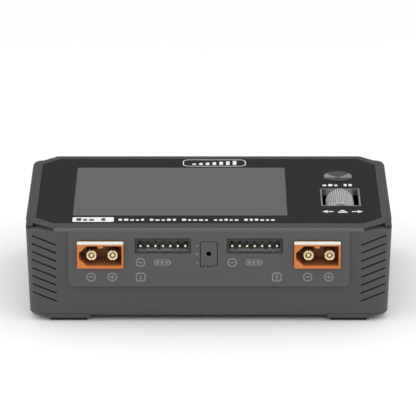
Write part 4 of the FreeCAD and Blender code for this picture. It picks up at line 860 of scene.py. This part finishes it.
def roller_finish(node, depth=0.32 * MM):
    """Painted highlight on top, where the roller faces up, and painted shade in the grooves: the distance
    from the wheel's axis tells groove from ridge."""
    finish = metal("Roller aluminium", 165, 0.3, (1.0, 0.05, 1.0), metallic=0.6)
    parts = add(finish.tree, "ShaderNodeSeparateXYZ")
    finish.tree.links.new(add(finish.tree, "ShaderNodeNewGeometry").outputs["Normal"], parts.inputs[0])
    up = math_node(finish.tree, "MAXIMUM", parts.outputs["Z"], 0.0)
    # Painted highlight: white where the surface faces up.
    finish.mix(math_node(finish.tree, "POWER", up, 5.0), srgb(255))
    low, high = spans(node)
    full = (high[2] - low[2]) / 2
    distance = axis_distance(finish.tree, -centre(node), "X", "Z")
    below = math_node(finish.tree, "SUBTRACT", full - 0.3 * depth, distance)
    groove_painted_shade = math_node(finish.tree, "DIVIDE", below, 0.5 * depth, clamp=True)
    # Painted shade: the grooves are painted darker.
    return finish.mix(math_node(finish.tree, "MULTIPLY", groove_painted_shade, 0.6), srgb(120)).done()


roller_piece.data.materials.append(roller_finish("jog_wheel"))
paint("wheel_bezel", metal("Frame aluminium", 175, 0.3, (0.1, 0.1, 1.0)).wear(srgb(225), 0.4, 0.0002).done())

# %% [markdown]
# ## The dished button
#
# The button's face was turned on a lathe, so its fine grooves are rings round its centre.
# Light streaks across such a face in two opposite wedges. The grooves are a ring pattern in
# the bump, and a soft double wedge painted brighter in the colour is a painted highlight for the streak.

# %% Button finish
RING_PITCH = 0.16 * MM


def spun_finish(name, node):
    """Height = sine of the distance from the centre; streak = clamp((|cos(angle)| - 0.84) / 0.08)."""
    finish = Finish(name, srgb(64), roughness=0.34, metallic=0.6)
    tree = finish.tree
    mapping = add(tree, "ShaderNodeMapping", inputs={"Location": tuple(-centre(node))})
    tree.links.new(add(tree, "ShaderNodeTexCoord").outputs["Object"], mapping.inputs["Vector"])
    parts = add(tree, "ShaderNodeSeparateXYZ")
    tree.links.new(mapping.outputs["Vector"], parts.inputs[0])
    x, y = parts.outputs["X"], parts.outputs["Y"]
    squares = [math_node(tree, "MULTIPLY", side, side) for side in (x, y)]
    distance = math_node(tree, "SQRT", math_node(tree, "ADD", *squares))
    rings = math_node(tree, "SINE", math_node(tree, "MULTIPLY", distance, 2 * math.pi / RING_PITCH))
    far = math_node(tree, "MAXIMUM", distance, 0.0001)
    across = math_node(tree, "ABSOLUTE", math_node(tree, "DIVIDE", x, far))
    streak = math_node(tree, "DIVIDE", math_node(tree, "SUBTRACT", across, 0.84), 0.08, clamp=True)
    # Painted highlight: two opposite wedges are painted brighter for the streak.
    finish.mix(streak, srgb(150))
    finish.bump(rings, 0.12, 0.00001)
    return finish.wear(srgb(200), 0.4, 0.0002).done()


paint("exit_button", spun_finish("Spun aluminium", "exit_button"))

# %% [markdown]
# ## Everything inside
#
# Boards, fins, cores and screws are mostly hidden, but they show through the vents, the
# grilles and the wheel's window. Each gets the finish of its own stuff: green resist on the
# boards, extruded fins, sintered cores, plated screws and polyimide film.

# %% Inner finishes
def plain(name, colour, roughness=0.5, fine=6000.0, amount=0.10, **shader):
    finish = Finish(name, colour, roughness=roughness, **shader)
    return finish.tone(amount, 180.0, fine, 0.15, 0.1, 0.00002).done()


def resist():
    """Solder resist: a brick pattern of tracks shows through the green film."""
    finish = Finish("Board resist", srgb(22, 66, 46), roughness=0.35, Specular_IOR_Level=0.5)
    tree = finish.tree
    tracks = add(tree, "ShaderNodeTexBrick", inputs={"Scale": 320.0, "Mortar Size": 0.03})
    tree.links.new(add(tree, "ShaderNodeTexCoord").outputs["Object"], tracks.inputs["Vector"])
    finish.mix(tracks.outputs["Fac"], srgb(60, 110, 70))
    return finish.tone(0.2, 300.0, 5000.0).done()


def pin_finish(name, node):
    """Painted highlight and painted reflection: the tip is painted near white, and the plated sides are
    painted dark for the dark hollow they stand in.
    """
    low, high = spans(node)
    finish = Finish(name, srgb(120, 112, 92), roughness=0.35, metallic=0.5)
    finish.tone(0.10, 180.0, 6000.0, 0.15, 0.1, 0.00002)
    tip_highlight_low, tip_highlight_high = [-0.1, low[1] - MM, low[2] - MM], [0.1, low[1] + 0.3 * MM, high[2] + MM]
    # Painted highlight: the tips are painted near white.
    return finish.inside(tip_highlight_low, tip_highlight_high, srgb(250, 242, 212), 0.0002).done()


board = resist()
steel = metal("Zinc plate", 170, 0.35).done()
dark_steel = metal("Black screw", 60, 0.4).done()
pin_gold = pin_finish("Pin gold", "balance_pins_left")
fins = metal("Extruded fins", 185, 0.35, (0.1, 1.0, 1.0)).done()
ferrite = plain("Sintered core", srgb(56), 0.7, 3000.0, 0.25)
fan_plastic = plain("Fan plastic", srgb(36), 0.45)
rubber = plain("Foot rubber", srgb(24), 0.85, 3500.0, 0.2)
acetal = plain("Cradle acetal", srgb(42), 0.4)
plunger = plain("Plunger nylon", srgb(190), 0.4)
INNER = {
    "main_board": board, "control_board": board, "connector_board": board,
    "board_screws": steel, "case_screws": steel, "tray_screws": steel, "fan_screws": dark_steel,
    "balance_pins_left": pin_gold, "balance_pins_right": pin_gold, "signal_pins": pin_gold,
    "heat_sink_left": fins, "heat_sink_right": fins, "transformer": ferrite,
    "choke_left": ferrite, "choke_right": ferrite, "wheel_cradle": acetal,
    "wheel_plunger": plunger, "exit_plunger": plunger,
    "wheel_shaft": metal("Ground shaft", 190, 0.25).done(),
    "lcd_tray": metal("Tray steel", 160, 0.4).done(),
    "lcd_module": plain("Display back", srgb(70), 0.3),
    "display_ribbon": plain("Polyimide film", srgb(168, 104, 40), 0.3),
    "bulk_capacitor": plain("Capacitor sleeve", srgb(34, 44, 92), 0.25),
    "mains_fuse": plain("Fuse ceramic", srgb(226, 222, 208), 0.25),
    "mains_pins": metal("Nickel plate", 205, 0.2).done(),
}
for node, material in INNER.items():
    paint(node, material)
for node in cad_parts:
    if node.startswith("fan_frame") or node.startswith("fan_rotor"):
        paint(node, fan_plastic)
    if node.startswith("foot_pad"):
        paint(node, rubber)
print("painted", len(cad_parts), "nodes")

# %% [markdown]
# ## Studio
#
# A product like this is shot on a pale sweep under a large soft light. The floor is a plain
# pale sheet. The sky is dim near the horizon, so that the flat glass stays black when seen at
# a low angle, and bright overhead. A wide panel over the front lights the upright faces.

# %% Floor, sky and lights
floor_mesh = bpy.data.meshes.new("floor")
reach = 6.0
floor_corners = [(-reach, -reach, 0), (reach, -reach, 0), (reach, reach, 0), (-reach, reach, 0)]
floor_mesh.from_pydata(floor_corners, [], [(0, 1, 2, 3)])
floor = bpy.data.objects.new("floor", floor_mesh)
bpy.context.scene.collection.objects.link(floor)
pale = Finish("Pale floor", (0.93, 0.93, 0.93, 1.0), roughness=0.9, Specular_IOR_Level=0.0)
floor_mesh.materials.append(pale.done())


def build_sky(low=0.30, high=1.10):
    """Light rises with the height of the direction; the camera itself sees plain white."""
    world = bpy.data.worlds.new("Studio")
    bpy.context.scene.world = world
    world.use_nodes = True
    tree = world.node_tree
    background = tree.nodes["Background"]
    background.inputs["Color"].default_value = (1.0, 1.0, 1.0, 1.0)
    parts = add(tree, "ShaderNodeSeparateXYZ")
    tree.links.new(add(tree, "ShaderNodeTexCoord").outputs["Generated"], parts.inputs[0])
    settings = {"From Min": 0.3, "From Max": 0.75, "To Min": low, "To Max": high}
    ramp = add(tree, "ShaderNodeMapRange", inputs=settings)
    tree.links.new(parts.outputs["Z"], ramp.inputs["Value"])
    seen = add(tree, "ShaderNodeLightPath").outputs["Is Camera Ray"]
    rest = math_node(tree, "MULTIPLY", ramp.outputs["Result"], math_node(tree, "SUBTRACT", 1.0, seen))
    tree.links.new(math_node(tree, "ADD", rest, seen), background.inputs["Strength"])


def soft_light(name, place, aim, size, power):
    light = bpy.data.lights.new(name, "AREA")
    light.shape = "RECTANGLE"
    light.size, light.size_y, light.energy = size[0], size[1], power
    lamp = bpy.data.objects.new(name, light)
    bpy.context.scene.collection.objects.link(lamp)
    lamp.location = place
    towards = np.array(aim) - np.array(place)
    lamp.rotation_euler = Vector(towards).to_track_quat("-Z", "Y").to_euler()


build_sky()
soft_light("front_panel_light", (0, -0.9, 0.75), (0, 0, 0.02), (1.4, 0.7), 3.0)
soft_light("left_light", (-0.9, -0.1, 0.4), (0, 0, 0.02), (0.5, 0.8), 2.3)
soft_light("right_light", (0.9, -0.1, 0.4), (0, 0, 0.02), (0.5, 0.8), 2.3)
bpy.context.scene.view_settings.view_transform = "Standard"

# %% [markdown]
# ## Camera
#
# The object is seen from the front, looking down by twenty degrees through a long lens, so
# its sides hardly converge. The camera is placed from one known point: the middle of the
# rim's front edge, at a chosen distance along the line of sight.

# %% Camera
LOOK_DOWN = math.radians(20.0)
DISTANCE = 1.2142
FRAME = 416
FOCAL = 3581.0 / FRAME * 36.0
ahead = np.array([0, math.cos(LOOK_DOWN), -math.sin(LOOK_DOWN)])
above = np.array([0, math.sin(LOOK_DOWN), math.cos(LOOK_DOWN)])
rim_edge = np.array([0, FRONT, RIM])
RIM_OFFSET = (0.00027, -0.00656)
eye = rim_edge - DISTANCE * ahead - RIM_OFFSET[0] * np.array([1, 0, 0]) - RIM_OFFSET[1] * above
camera_data = bpy.data.cameras.new("camera")
camera_data.lens = FOCAL
camera_data.sensor_width = 36.0
camera_data.clip_start = 0.01
camera = bpy.data.objects.new("camera", camera_data)
bpy.context.scene.collection.objects.link(camera)
camera.location = tuple(eye)
camera.rotation_euler = (math.pi / 2 - LOOK_DOWN, 0, 0)
bpy.context.scene.camera = camera
print("camera at", [round(float(v), 4) for v in eye])
